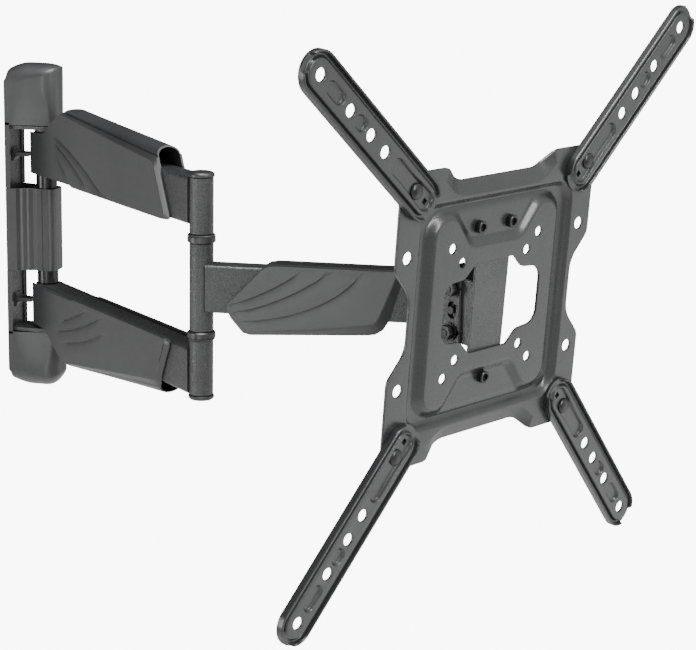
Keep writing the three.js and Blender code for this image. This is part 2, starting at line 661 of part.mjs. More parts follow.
// The window through the middle of the plate.
function windowOutline() {
  const shape = new THREE.Shape();
  for (const side of [1, -1]) {
    if (side === 1) shape.moveTo(20, -35);
    else shape.lineTo(-20, 35);
    shape.lineTo(side * 22, side * -35);
    shape.quadraticCurveTo(side * 29, side * -26, side * 40, side * -23.5);
    shape.quadraticCurveTo(side * 56, side * -21, side * 56, side * -8);
    shape.lineTo(side * 56, side * 8);
    shape.quadraticCurveTo(side * 56, side * 21, side * 40, side * 23.5);
    shape.quadraticCurveTo(side * 29, side * 26, side * 22, side * 35);
  }
  return shape;
}

function screenPlate() {
  const floor = -RECESS_DEPTH;
  const under = -PLATE_SHEET;
  const lowest = floor - PLATE_SHEET;
  const recess = (grow, h0, h1) => cut(
    slab(roundedRectangle(86 + grow, 84.5 + grow, 14 + grow), h0, h1, 5),
    middlePanel(grow, h0 - 1, h1 + 1),
  );
  const everywhere = box(-200, 200, -200, 200, lowest - 1, under);
  const hollow = cut(everywhere, recess(PLATE_SHEET, lowest - 2, 2));
  const blank = cut(slab(plateOutline(), lowest, 0, 6), recess(0, floor, 1), hollow);

  const holes = [slab(windowOutline(), lowest - 1, 1, 5)];
  for (const sx of [-1, 1]) {
    for (const sy of [-1, 1]) {
      holes.push(rod(3.9, lowest - 1, 1, sx * 50, sy * 50, 14));
      holes.push(rod(3.9, lowest - 1, 1, sx * 37.5, sy * 37.5, 14));
      holes.push(rod(4.9, lowest - 1, 1, sx * 100, sy * 50, 14));
      holes.push(rod(4.4, lowest - 1, 1, sx * ARM_BOLT_PITCH, sy * ARM_BOLT_PITCH, 14));
    }
    holes.push(rod(3.3, lowest - 1, 1, sx * TOP_SCREWS.x, TOP_SCREWS.y, 12));
  }
  holes.push(rod(3.3, lowest - 1, 1, 0, BOTTOM_SCREW, 12));
  return cut(blank, ...holes);
}

// Socket head screw and nut that clamp the plate to the carrier.
function buildLevelScrew(plate, name, x, y) {
  const place = frame(plate, x, y, 0);
  const seat = GAP - RECESS_DEPTH;
  const back = -TAB_FRONT - SHEET - GAP;
  const head = lathe([[0, seat], [5, seat], [5, seat + 4], [4.4, seat + 4.8], [0, seat + 4.8]], 18);
  const socket = hex(2.6, seat + 2, seat + 6);
  const shank = rod(3, back - 5.5, seat + 0.5, 0, 0, 14);
  const nut = cut(hex(5.8, back - 4.5, back), rod(3.3, back - 6, 0, 0, 0, 14));
  add(place, `level_screw_${name}`, cut(fuse(head, shank), socket), blackSteel);
  add(place, `level_nut_${name}`, nut, blackSteel);
}

// Carriage bolt and flanged nut that an extension arm turns on.
function buildArmBolt(plate, name, x, y) {
  const place = frame(plate, x, y, 0);
  const seat = 2 * GAP + PLATE_SHEET;
  const back = -PLATE_SHEET - GAP;
  const domeProfile = [[0, seat], [6.8, seat], [6.6, seat + 0.9], [5.4, seat + 1.9], [3, seat + 2.6], [0, seat + 2.9]];
  const bolt = fuse(lathe(domeProfile, 20), rod(3.9, back - 7.5, seat + 0.5, 0, 0, 16));
  const nut = cut(
    fuse(rod(8.5, back - 1.6, back, 0, 0, 20), hex(7, back - 6.5, back)),
    rod(4.2, back - 9, 1, 0, 0, 16),
  );
  add(place, `arm_bolt_${name}`, bolt, blackSteel);
  add(place, `arm_nut_${name}`, nut, blackSteel);
}

// ---------------------------------------------------------------- extension arms

const EXT_HALF_WIDTH = 16.5;
const EXT_RIM = 6;                // height of the turned-up rim
const EXT_WEB = 4.8;              // height of the raised web
const EXT_INNER_END = -10;        // centre of the round end behind the bolt
const EXT_TIP = ARM_HOLES[3] + 1.2;   // centre of the round end beyond the last hole

// The arm lies along +X from its bolt, on the plane h = GAP, pressed from one sheet.
function extensionArm() {
  const base = GAP;
  const floor = base + PLATE_SHEET;
  const web = base + EXT_WEB;
  const outline = (radius) => capsule(EXT_INNER_END, EXT_TIP, radius);
  const boat = (grow) => boatShape(grow);
  const dimples = (grow, h0, h1) => [
    slab(capsule(85.4 - 2, 85.4 + 2, 3.6 + grow), h0, h1, 5),
    slab(capsule(120.7 - 6, 120.7 + 6, 3.6 + grow), h0, h1, 5),
  ];
  const tray = cut(
    slab(outline(EXT_HALF_WIDTH), base, base + EXT_RIM, 9),
    slab(outline(EXT_HALF_WIDTH - PLATE_SHEET), floor, base + EXT_RIM + 1, 9),
  );
  const ridge = slab(outline(10.5), base, web, 8);
  const under = cut(
    slab(outline(10.5 - PLATE_SHEET), base - 1, web - PLATE_SHEET, 8),
    slab(boat(PLATE_SHEET), base - 2, web, 5),
    ...dimples(PLATE_SHEET, base - 2, web),
  );
  const holes = ARM_HOLES.map((x) => rod(4.8, base - 1, web + 2, x, 0, 16));
  const boltHole = rod(4.3, base - 1, web + 2, 0, 0, 16);
  const spareHole = box(-16, -11.6, -2.2, 2.2, base - 1, web + 2);
  const tip = EXT_TIP + EXT_HALF_WIDTH;
  const inner = EXT_INNER_END - EXT_HALF_WIDTH;
  const notches = [
    box(tip - 7, tip + 1, -7, 7, floor, base + EXT_RIM + 1),
    box(tip - 1.6, tip + 1, -9, 9, base - 1, base + EXT_RIM + 1),
    box(inner - 1, inner + 6, -9, 9, floor, base + EXT_RIM + 1),
  ];
  return cut(fuse(tray, ridge), under, slab(boat(0), floor, web + 2, 5),
    ...dimples(0, web - 2, web + 2), ...holes, boltHole, spareHole, ...notches);
}

// The long recess round the bolt: wide at the bolt, narrower towards the tip.
function boatShape(grow) {
  const wide = 7.6 + grow;
  const narrow = 5.2 + grow;
  const shape = new THREE.Shape();
  shape.absarc(-12, 0, wide, Math.PI / 2, 1.5 * Math.PI, false);
  shape.lineTo(8, -wide);
  shape.quadraticCurveTo(18, -wide, 31, -narrow);
  shape.absarc(31, 0, narrow, -Math.PI / 2, Math.PI / 2, false);
  shape.quadraticCurveTo(18, wide, 8, wide);
  return shape;
}

// ---------------------------------------------------------------- assembly

const mount = new THREE.Group();
buildWallBracket(mount);

const arm = frame(mount, 0, -PIVOT_OUT, 0);
arm.rotation.z = deg(WALL_SWING - 90);
buildMainArm(arm);

const forearm = frame(arm, ARM_LENGTH, 0, 0);
forearm.rotation.z = deg(ELBOW);
buildForearm(forearm);

const head = frame(forearm, FOREARM_LENGTH, 0, 0);
head.rotation.z = deg(HEAD_SWIVEL);
buildHead(head);

const tilt = frame(head, TILT_X, 0, 0);
tilt.rotation.y = deg(TILT);
buildTilt(tilt);
buildKnob(tilt);

// In the plate's own frame x runs to the right, y up and z out of its front face.
const plate = frame(tilt, TILT_DEPTH, 0, PLATE_RAISE);
plate.quaternion.set(0.5, 0.5, 0.5, 0.5);
plate.rotateZ(deg(LEVEL));
add(plate, 'screen_plate', screenPlate(), pressedSteel);
buildLevelScrew(plate, 'top_left', -TOP_SCREWS.x, TOP_SCREWS.y);
buildLevelScrew(plate, 'top_right', TOP_SCREWS.x, TOP_SCREWS.y);
buildLevelScrew(plate, 'bottom', 0, BOTTOM_SCREW);

const armSolid = extensionArm();
for (const [name, angle] of Object.entries(EXTENSION_ANGLES)) {
  const x = name.endsWith('left') ? -ARM_BOLT_PITCH : ARM_BOLT_PITCH;
  const y = name.startsWith('bottom') ? -ARM_BOLT_PITCH : ARM_BOLT_PITCH;
  buildArmBolt(plate, name, x, y);
  const place = frame(plate, x, y, 0);
  place.rotation.z = deg(angle);
  add(place, `extension_arm_${name}`, armSolid, pressedSteel);
}

export default mount;
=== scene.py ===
# The looks of a full-motion television wall mount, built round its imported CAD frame.
# Every piece is modelled in millimetres in the local frame of the joint that carries it and then
# placed in the row frame in metres, so nothing here moves or resizes a CAD part.

import json
import math

import bmesh
import bpy
import numpy as np
from mathutils import Matrix, Vector
from mathutils.geometry import delaunay_2d_cdt


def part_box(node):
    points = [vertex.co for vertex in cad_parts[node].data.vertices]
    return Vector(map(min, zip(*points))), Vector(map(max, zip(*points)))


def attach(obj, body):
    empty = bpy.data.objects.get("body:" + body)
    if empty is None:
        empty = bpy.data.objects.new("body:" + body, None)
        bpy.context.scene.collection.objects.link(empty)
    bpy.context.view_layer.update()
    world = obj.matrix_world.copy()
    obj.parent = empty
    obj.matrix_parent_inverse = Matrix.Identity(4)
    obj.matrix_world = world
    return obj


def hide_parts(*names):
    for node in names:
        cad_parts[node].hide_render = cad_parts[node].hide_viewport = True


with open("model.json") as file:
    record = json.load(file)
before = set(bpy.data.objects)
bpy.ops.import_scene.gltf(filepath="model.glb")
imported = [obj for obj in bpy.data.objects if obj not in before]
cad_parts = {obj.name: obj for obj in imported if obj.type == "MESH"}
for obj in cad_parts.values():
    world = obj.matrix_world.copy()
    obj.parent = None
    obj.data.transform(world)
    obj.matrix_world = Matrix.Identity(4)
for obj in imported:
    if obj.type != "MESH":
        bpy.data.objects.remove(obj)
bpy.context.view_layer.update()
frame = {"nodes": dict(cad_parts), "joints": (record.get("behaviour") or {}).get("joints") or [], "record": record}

MM = 0.001
UP = Vector((0, 0, 1))
QUADRANTS = ((1, 1), (-1, 1), (-1, -1), (1, -1))
CORNERS = ("top_left", "top_right", "bottom_left", "bottom_right")


# ---------------------------------------------------------------- local frames, taken from the joints

joints = {joint["name"]: joint for joint in frame["joints"]}


def pivot(name):
    return Vector(joints[name]["pos_m"])


def axis(name):
    return Vector(joints[name]["axis"]).normalized()


def local_frame(origin, x_axis, z_axis):
    """Matrix from millimetres along the given axes to the row frame in metres."""
    x_axis = x_axis.normalized()
    z_axis = z_axis.normalized()
    matrix = Matrix((x_axis, z_axis.cross(x_axis), z_axis)).transposed().to_4x4()
    matrix.translation = origin
    return matrix @ Matrix.Scale(MM, 4)


def heading(start, end):
    direction = pivot(end) - pivot(start)
    direction.z = 0
    return direction


def arm_direction(name):
    """Long axis of an extension arm: from its bolt to the middle of its far end."""
    bolt = pivot("extension_" + name)
    normal = axis("level")
    points = np.array([v.co for v in frame["nodes"]["extension_arm_" + name].data.vertices])
    offsets = points - np.array(bolt)
    offsets -= np.outer(offsets @ np.array(normal), np.array(normal))
    reach = np.linalg.norm(offsets, axis=1)
    return Vector(offsets[reach > 0.995 * reach.max()].mean(0))


wall_frame = local_frame(Vector((0, 0, 0)), Vector((1, 0, 0)), UP)
pivot_frame = local_frame(pivot("wall_swing"), Vector((1, 0, 0)), UP)
arm_frame = local_frame(pivot("wall_swing"), heading("wall_swing", "elbow"), UP)
forearm_frame = local_frame(pivot("elbow"), heading("elbow", "head_swivel"), UP)
tilt_frame = local_frame(pivot("tilt"), axis("level"), axis("level").cross(axis("tilt")))
plate_across = pivot("extension_top_right") - pivot("extension_top_left")
plate_frame = local_frame(pivot("level"), plate_across, axis("level"))
extension_frames = {
    name: local_frame(pivot("extension_" + name), arm_direction(name), axis("level"))
    for name in CORNERS
}

ARM_LENGTH = heading("wall_swing", "elbow").length / MM
FOREARM_LENGTH = heading("elbow", "head_swivel").length / MM
PIVOT_OUT = -pivot("wall_swing").y / MM

ARM_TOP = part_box("upper_arm")[1].z / MM
ARM_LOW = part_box("upper_arm_cover")[0].z / MM + 2
FOREARM_HALF = 19
TUBE_HALF_WIDTH = 10
COLUMN_RADIUS = 9.5
PIVOT_TUBE_RADIUS = 9.3
PIVOT_TUBE_HALF = 49.2             # half its length
FOREARM_POST_HALF = 35.2           # half the length of the forearm's column
COVER_ARCH = 17.4                  # radius of the arch across the top of an end cover
COVER_HALF_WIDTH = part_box("top_wall_cover")[1].x / MM
WALL_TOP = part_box("top_wall_cover")[1].z / MM
MID_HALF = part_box("middle_cable_cover")[1].z / MM
MID_FRONT = -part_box("middle_cable_cover")[0].y / MM
PLATE_SHEET = 2


# ---------------------------------------------------------------- materials

def new_material(name, color, roughness, metallic=0.0):
    material = bpy.data.materials.new(name)
    material.use_nodes = True
    shader = material.node_tree.nodes["Principled BSDF"]
    shader.inputs["Base Color"].default_value = (*color, 1)
    shader.inputs["Roughness"].default_value = roughness
    shader.inputs["Metallic"].default_value = metallic
    return material, material.node_tree, shader


def noise(tree, scale, detail=3.0, roughness=0.55):
    coordinates = tree.nodes.new("ShaderNodeTexCoord")
    texture = tree.nodes.new("ShaderNodeTexNoise")
    texture.inputs["Scale"].default_value = scale
    texture.inputs["Detail"].default_value = detail
    texture.inputs["Roughness"].default_value = roughness
    tree.links.new(coordinates.outputs["Object"], texture.inputs["Vector"])
    return texture.outputs["Fac"]


def ramp(tree, factor, low, high, low_value, high_value):
    """Maps factor from low..high to low_value..high_value."""
    node = tree.nodes.new("ShaderNodeMapRange")
    node.inputs["From Min"].default_value = low
    node.inputs["From Max"].default_value = high
    node.inputs["To Min"].default_value = low_value
    node.inputs["To Max"].default_value = high_value
    tree.links.new(factor, node.inputs["Value"])
    return node.outputs["Result"]


def vary_color(tree, shader, factor, dark, light):
    mix = tree.nodes.new("ShaderNodeMix")
    mix.data_type = "RGBA"
    mix.inputs["A"].default_value = (*dark, 1)
    mix.inputs["B"].default_value = (*light, 1)
    tree.links.new(factor, mix.inputs["Factor"])
    tree.links.new(mix.outputs["Result"], shader.inputs["Base Color"])


def add_bump(tree, shader, layers):
    """Stacks bump layers, each (height output, strength, distance in metres)."""
    previous = None
    for height, strength, distance in layers:
        bump = tree.nodes.new("ShaderNodeBump")
        bump.inputs["Strength"].default_value = strength
        bump.inputs["Distance"].default_value = distance
        tree.links.new(height, bump.inputs["Height"])
        if previous:
            tree.links.new(previous, bump.inputs["Normal"])
        previous = bump.outputs["Normal"]
    tree.links.new(previous, shader.inputs["Normal"])


def grainy_coat(name, dark, light, roughness, grain, depth):
    """Powder coat: orange peel with a fine grain, slightly worn to a lighter grey in places."""
    material, tree, shader = new_material(name, dark, roughness)
    grains = noise(tree, grain, 2.0)
    cloud = noise(tree, 26.0, 4.0)
    vary_color(tree, shader, ramp(tree, cloud, 0.35, 0.65, 0.0, 1.0), dark, light)
    tree.links.new(ramp(tree, grains, 0.3, 0.7, roughness - 0.08, roughness + 0.1),
                   shader.inputs["Roughness"])
    add_bump(tree, shader, [(grains, 0.9, depth), (noise(tree, grain * 0.22, 2.0), 0.3, depth)])
    return material


def satin_plastic():
    """Injection-moulded ABS with a fine spark-eroded texture."""
    dark, light = (0.017, 0.0173, 0.018), (0.021, 0.0213, 0.022)
    material, tree, shader = new_material("satin_plastic", dark, 0.42)
    cloud = noise(tree, 18.0, 3.0)
    vary_color(tree, shader, ramp(tree, cloud, 0.35, 0.65, 0.0, 1.0), dark, light)
    tree.links.new(ramp(tree, noise(tree, 900.0), 0.3, 0.7, 0.32, 0.42), shader.inputs["Roughness"])
    add_bump(tree, shader, [(noise(tree, 2600.0, 2.0), 0.22, 0.00008)])
    shader.inputs["Specular IOR Level"].default_value = 0.5
    return material


def smooth_metal(name, color, roughness, metallic):
    material, tree, shader = new_material(name, color, roughness, metallic)
    smudge = noise(tree, 160.0, 4.0)
    brighter = tuple(1.35 * c for c in color)
    vary_color(tree, shader, ramp(tree, smudge, 0.35, 0.7, 0.0, 1.0), color, brighter)
    tree.links.new(ramp(tree, smudge, 0.3, 0.7, roughness - 0.06, roughness + 0.12),
                   shader.inputs["Roughness"])
    add_bump(tree, shader, [(noise(tree, 1400.0, 2.0), 0.12, 0.00005)])
    return material


MATERIALS = {
    "powder_coated_steel": grainy_coat(
        "powder_coated_steel", (0.016, 0.0163, 0.017), (0.022, 0.0223, 0.023), 0.30, 1000.0, 0.0005),
    "pressed_steel": grainy_coat(
        "pressed_steel", (0.010, 0.0102, 0.0107), (0.013, 0.0133, 0.0138), 0.30, 1900.0, 0.00003),
    "satin_plastic": satin_plastic(),
    "black_steel": smooth_metal("black_steel", (0.008, 0.008, 0.0085), 0.26, 0.4),
    "nylon": smooth_metal("nylon", (0.010, 0.010, 0.0105), 0.36, 0.0),
    "zinc_steel": smooth_metal("zinc_steel", (0.45, 0.46, 0.48), 0.32, 1.0),
}

for entry in frame["record"]["subparts"]:
    mesh = frame["nodes"][entry["node"]].data
    mesh.materials.clear()
    mesh.materials.append(MATERIALS[entry["material_slot"]])


# ---------------------------------------------------------------- outlines

def rounded(corners, steps=7):
    """A closed outline from corners (x, y, radius), each corner turned into an arc."""
    points = []
    count = len(corners)
    for index, (x, y, radius) in enumerate(corners):
        here = Vector((x, y))
        before = Vector(corners[index - 1][:2]) - here
        after = Vector(corners[(index + 1) % count][:2]) - here
        if radius == 0:
            points.append(tuple(here))
            continue
        half_angle = before.angle(after) / 2
        if half_angle > math.radians(89.5):
            points.append(tuple(here))
            continue
        before.normalize()
        after.normalize()
        cut = radius / math.tan(half_angle)
        centre = here + (before + after).normalized() * (radius / math.sin(half_angle))
        start = here + before * cut - centre
        end = here + after * cut - centre
        sweep = start.angle_signed(end)
        for step in range(steps + 1):
            turned = Matrix.Rotation(-sweep * step / steps, 2) @ start
            points.append(tuple(centre + turned))
    return points


def mirrored_corners(quarter):
    """Corners of a shape with two mirror lines, from those of its first quadrant in turning order."""
    corners = []
    for sx, sy in QUADRANTS:
        part = [(sx * x, sy * y, r) for x, y, r in quarter]
        corners += part if sx * sy > 0 else part[::-1]
    return corners


def capsule(x0, x1, radius0, radius1=None, steps=16):
    radius1 = radius1 or radius0
    points = []
    for step in range(steps + 1):
        angle = math.pi * (0.5 + step / steps)
        points.append((x0 + radius0 * math.cos(angle), radius0 * math.sin(angle)))
    for step in range(steps + 1):
        angle = math.pi * (1.5 + step / steps)
        points.append((x1 + radius1 * math.cos(angle), radius1 * math.sin(angle)))
    return points


def circle(x, y, radius, steps=24):
    turns = [2 * math.pi * step / steps for step in range(steps)]
    return [(x + radius * math.cos(a), y + radius * math.sin(a)) for a in turns]


def bezier(start, control, end, steps=24):
    """A quadratic curve."""
    points = []
    for step in range(steps + 1):
        t = step / steps
        weights = ((1 - t) ** 2, 2 * t * (1 - t), t * t)
        points.append(tuple(
            sum(w * p[k] for w, p in zip(weights, (start, control, end))) for k in (0, 1)))
    return points


def is_inside(points, loop):
    points = np.asarray(points)
    loop = np.asarray(loop)
    following = np.roll(loop, -1, axis=0)
    inside = np.zeros(len(points), bool)
    for (x0, y0), (x1, y1) in zip(loop, following):
        if y0 == y1:
            continue
        crosses = (points[:, 1] > y0) != (points[:, 1] > y1)
        at = x0 + (points[:, 1] - y0) * (x1 - x0) / (y1 - y0)
        inside ^= crosses & (points[:, 0] < at)
    return inside


def path_distance(points, path, closed):
    """Distance to a path and the side of it that each point is on."""
    points = np.asarray(points, float)
    starts = np.asarray(path, float)
    ends = np.roll(starts, -1, axis=0)
    if not closed:
        starts, ends = starts[:-1], ends[:-1]
    best = np.full(len(points), 1e9)
    side = np.zeros(len(points))
    for a, b in zip(starts, ends):
        along = b - a
        length = along @ along
        if length < 1e-12:
            continue
        offset = points - a
        t = np.clip(offset @ along / length, 0, 1)
        distance = np.linalg.norm(offset - np.outer(t, along), axis=1)
        cross = along[0] * offset[:, 1] - along[1] * offset[:, 0]
        nearer = distance < best - 1e-9
        best = np.where(nearer, distance, best)
        side = np.where(nearer, np.sign(cross), side)
    return best, side


def depth_inside(points, loop):
    """Signed distance to a closed outline, positive inside it."""
    distance, _ = path_distance(points, loop, True)
    return np.where(is_inside(points, loop), distance, -distance)


def offset_loop(loop, distance):
    """Moves each point of a closed, anticlockwise outline outwards by distance."""
    points = np.asarray(loop, float)
    along = np.roll(points, -1, axis=0) - np.roll(points, 1, axis=0)
    along /= np.linalg.norm(along, axis=1)[:, None]
    return [tuple(p) for p in points + distance * np.stack([along[:, 1], -along[:, 0]], 1)]


def offset_path(path, distance):
    points = np.asarray(path, float)
    along = np.gradient(points, axis=0)
    along /= np.linalg.norm(along, axis=1)[:, None]
    return [tuple(p) for p in points + distance * np.stack([along[:, 1], -along[:, 0]], 1)]


def profile(distance, stations):
    """Height at a distance from a feature line, by smooth steps between stations (distance, height)."""
    return np.interp(distance, [s[0] for s in stations], [s[1] for s in stations])


# ---------------------------------------------------------------- mesh making

def triangulate(outline, holes, guides):
    """Triangles that fill an outline less its holes, with edges along every guide (path, closed)."""
    points = []
    edges = []
    for path, closed in [(outline, True), *[(hole, True) for hole in holes], *guides]:
        start = len(points)
        points += [Vector(p) for p in path]
        count = len(path)
        edges += [(start + i, start + (i + 1) % count) for i in range(count if closed else count - 1)]
    verts, _, faces = delaunay_2d_cdt(points, edges, [], 0, 1e-4, False)[:3]
    flat = np.array([tuple(v) for v in verts])
    centres = np.array([flat[list(face)].mean(0) for face in faces])
    keep = is_inside(centres, outline)
    for hole in holes:
        keep &= ~is_inside(centres, hole)
    return flat, [list(face) for face, kept in zip(faces, keep) if kept]


def clip_guide(path, outline, margin, closed=False):
    """The stretches of a path that lie inside an outline, away from its edge."""
    keep = depth_inside(path, outline) > margin
    stretches = []
    current = []
    for point, kept in zip(path, keep):
        if kept:
            current.append(point)
        else:
            if len(current) > 1:
                stretches.append((current, False))
            current = []
    if len(current) > 1:
        stretches.append((current, False))
    if closed and keep.all():
        return [(path, True)]
    return stretches


def sheet(outline, holes, guides, top, bottom):
    """A closed sheet between two height functions of the same flat triangles."""
    flat, faces = triangulate(outline, holes, guides)
    used = sorted({i for face in faces for i in face})
    index = {old: new for new, old in enumerate(used)}
    flat = flat[used]
    upper = top(flat)
    lower = bottom(flat)
    count = len(used)
    bm = bmesh.new()
    verts = [bm.verts.new((x, y, z)) for (x, y), z in zip(flat, upper)]
    verts += [bm.verts.new((x, y, z)) for (x, y), z in zip(flat, lower)]
    edge_faces = {}
    for face in faces:
        a = [index[i] for i in face]
        bm.faces.new([verts[i] for i in a])
        bm.faces.new([verts[i + count] for i in reversed(a)])
        for i, j in zip(a, a[1:] + a[:1]):
            edge_faces[(i, j)] = True
    for i, j in edge_faces:
        if (j, i) not in edge_faces:
            bm.faces.new([verts[j], verts[i], verts[i + count], verts[j + count]])
    return bm


def loft(rows, closed_ends=True):
    """A skin through rows of points, each row a closed ring with the same count."""
    bm = bmesh.new()
    rings = [[bm.verts.new(p) for p in row] for row in rows]
    count = len(rings[0])
    for low, high in zip(rings, rings[1:]):
        for i in range(count):
            j = (i + 1) % count
            bm.faces.new([low[i], low[j], high[j], high[i]])
    if closed_ends:
        bm.faces.new(list(reversed(rings[0])))
        bm.faces.new(rings[-1])
    return bm


def lathe(points, segments=48):
    """Turns (radius, height) points about Z. Points on the axis become one vertex."""
    bm = bmesh.new()
    rings = []
    for radius, height in points:
        if radius < 1e-6:
            rings.append([bm.verts.new((0, 0, height))])
            continue
        turns = [2 * math.pi * k / segments for k in range(segments)]
        rings.append([bm.verts.new((radius * math.cos(a), radius * math.sin(a), height)) for a in turns])
    closed = points[0] == points[-1]
    if closed:
        for v in rings[-1]:
            bm.verts.remove(v)
        rings[-1] = rings[0]
    for low, high in zip(rings, rings[1:]):
        for k in range(segments):
            n = (k + 1) % segments
            corners = [low[k % len(low)], low[n % len(low)], high[n % len(high)], high[k % len(high)]]
            unique = list(dict.fromkeys(corners))
            if len(unique) > 2:
                bm.faces.new(unique)
    return bm


def extrude(outline, z0, z1):
    return loft([[(x, y, z0) for x, y in outline], [(x, y, z1) for x, y in outline]])


def box(x0, x1, y0, y1, z0, z1):
    return extrude([(x0, y0), (x1, y0), (x1, y1), (x0, y1)], z0, z1)


def moved(bm, matrix):
    bm.transform(matrix)
    return bm


def upright(bm, y=0.0):
    """Turns an (x, y) outline extruded along z into an (x, z) side view extruded along y."""
    return moved(bm, Matrix.Translation((0, y, 0)) @ Matrix.Rotation(math.radians(90), 4, "X"))


def along_y(bm, x, y, z):
    """Turns a lathe about Z into one about Y, with its height along Y."""
    return moved(bm, Matrix.Translation((x, y, z)) @ Matrix.Rotation(math.radians(-90), 4, "X"))


def joined(*parts):
    """One mesh of several closed parts."""
    whole = bmesh.new()
    for part in parts:
        mesh = bpy.data.meshes.new("part")
        part.to_mesh(mesh)
        whole.from_mesh(mesh)
        bpy.data.meshes.remove(mesh)
    return whole


def to_object(bm, name):
    bmesh.ops.remove_doubles(bm, verts=bm.verts, dist=1e-4)
    bmesh.ops.recalc_face_normals(bm, faces=bm.faces)
    mesh = bpy.data.meshes.new(name)
    bm.to_mesh(mesh)
    bm.free()
    piece = bpy.data.objects.new(name, mesh)
    bpy.context.scene.collection.objects.link(piece)
    return piece


def cut_away(solid, *tools):
    """Subtracts closed parts from a closed part, in bmesh."""
    piece = to_object(solid, "solid")
    cutters = [to_object(tool, "tool") for tool in tools]
    for cutter in cutters:
        modifier = piece.modifiers.new("cut", "BOOLEAN")
        modifier.operation = "DIFFERENCE"
        modifier.solver = "EXACT"
        modifier.object = cutter
    bpy.context.view_layer.update()
    evaluated = piece.evaluated_get(bpy.context.evaluated_depsgraph_get())
    result = bmesh.new()
    result.from_mesh(evaluated.to_mesh())
    for item in [piece, *cutters]:
        bpy.data.objects.remove(item)
    return result


def place(name, bm, where, body, slot, replaces=(), bevel=0.0, segments=2, sharp=35):
    """Turns a bmesh in local millimetres into a shown piece that rides on a body."""
    bm.transform(where)
    bmesh.ops.remove_doubles(bm, verts=bm.verts, dist=2e-6)
    bmesh.ops.recalc_face_normals(bm, faces=bm.faces)
    for face in bm.faces:
        face.smooth = True
    if not bevel:
        for edge in bm.edges:
            edge.smooth = edge.calc_face_angle(0) < math.radians(sharp)
    mesh = bpy.data.meshes.new(name)
    bm.to_mesh(mesh)
    bm.free()
    piece = bpy.data.objects.new(name, mesh)
    bpy.context.scene.collection.objects.link(piece)
    if bevel:
        rounding = piece.modifiers.new("rounding", "BEVEL")
        rounding.width = bevel * MM
        rounding.segments = segments
        rounding.limit_method = "ANGLE"
        rounding.angle_limit = math.radians(sharp)
    normals = piece.modifiers.new("normals", "WEIGHTED_NORMAL")
    normals.keep_sharp = True
    mesh.materials.append(MATERIALS[slot])
    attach(piece, body)
    for node in replaces:
        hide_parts(node)
    return piece


# ---------------------------------------------------------------- screen plate and extension arms

RECESS_DEPTH = 4
ARM_BOLT_PITCH = 100
TOP_SCREWS = (18, 62)
BOTTOM_SCREW = -58
EDGE_SOFT = 0.5                    # width of the soft sheared edge


def bend(depth, half_width):
    """Profile stations (distance, height) of a pressed bend that falls by depth over a feature line."""
    curve = ((-1.0, 0.0), (-0.6, 0.08), (-0.2, 0.34), (0.2, 0.66), (0.6, 0.92), (1.0, 1.0))
    return [(half_width * at, -depth * part) for at, part in curve]


def bend_guides(loop, stations):
    return [(offset_loop(loop, -at), True) for at, _ in stations]


def soft_edge(points, edges):
    """How far a sheared edge is rolled down near an outline or a hole."""
    nearest = np.min([path_distance(points, edge, True)[0] for edge in edges], axis=0)
    return -0.35 * (1 - np.clip(nearest / EDGE_SOFT, 0, 1)) ** 2


def plate_outline():
    return rounded(mirrored_corners(
        [(94.5, 21, 22), (112.5, 41, 11), (112.5, 112.5, 15), (62, 112.5, 14), (46, 100, 22)]))


def panel_outline():
    return rounded(mirrored_corners([(74, 76, 16), (47, 76, 12), (29, 51, 12)]))


def window_outline():
    return rounded(mirrored_corners([(56, 22.5, 11), (33, 24.5, 9), (22, 35, 4)]))


def plate_holes():
    holes = []
    for sx, sy in QUADRANTS:
        holes.append(circle(sx * 50, sy * 50, 3.9))
        holes.append(circle(sx * 37.5, sy * 37.5, 3.9))
        holes.append(circle(sx * 100, sy * 50, 4.9))
    return holes


def make_screen_plate():
    outline = plate_outline()
    holes = [window_outline(), *plate_holes()]
    recess = rounded([(86, -84.5, 15), (86, 84.5, 15), (-86, 84.5, 15), (-86, -84.5, 15)])
    panel = panel_outline()
    recess_bend = bend(RECESS_DEPTH, 3.4)
    rise_bend = bend(RECESS_DEPTH, 4.8)
    hem = [(0, -4.6), (9.6, -0.7), (10.4, -0.2), (11.2, 0.0)]
    edges = [outline, *holes]

    def hem_part(points):
        """The turned-back edge runs along the waists between the corner lugs."""
        across = np.minimum(np.abs(points[:, 0]), np.abs(points[:, 1]))
        return np.clip((62 - across) / 12, 0, 1) * (np.abs(points[:, 1]) > 80)

    def relief(points):
        in_recess = profile(depth_inside(points, recess), recess_bend)
        in_panel = profile(depth_inside(points, panel), rise_bend) / RECESS_DEPTH
        edge_depth = depth_inside(points, outline)
        deeper = 1 + 0.5 * np.clip((np.abs(points[:, 0]) - 38) / 14, 0, 1)
        return in_recess * (1 + in_panel) * deeper + profile(edge_depth, hem) * hem_part(points)

    guides = bend_guides(recess, recess_bend) + bend_guides(panel, rise_bend)
    guides += [(offset_loop(outline, -at), True) for at, _ in hem[1:]]
    guides += [(offset_loop(outline, -EDGE_SOFT), True)]
    guides += [(offset_loop(hole, EDGE_SOFT), True) for hole in holes]
    bm = sheet(outline, holes, guides,
               lambda points: relief(points) + soft_edge(points, edges),
               lambda points: relief(points) - PLATE_SHEET)
    place("screen_plate_pressing", bm, plate_frame, "screen_plate", "pressed_steel",
          ["screen_plate"], sharp=50)


def hexagon(radius):
    return circle(0, 0, radius, 6)


def hex_block(radius, z0, z1, chamfer=0.7):
    """A hexagonal nut or bolt head with turned chamfers at both ends."""
    rows = []
    for z, inset in ((z0, chamfer), (z0 + chamfer / 2, 0), (z1 - chamfer / 2, 0), (z1, chamfer)):
        rows.append([(x, y, z) for x, y in hexagon(radius - inset)])
    return loft(rows)


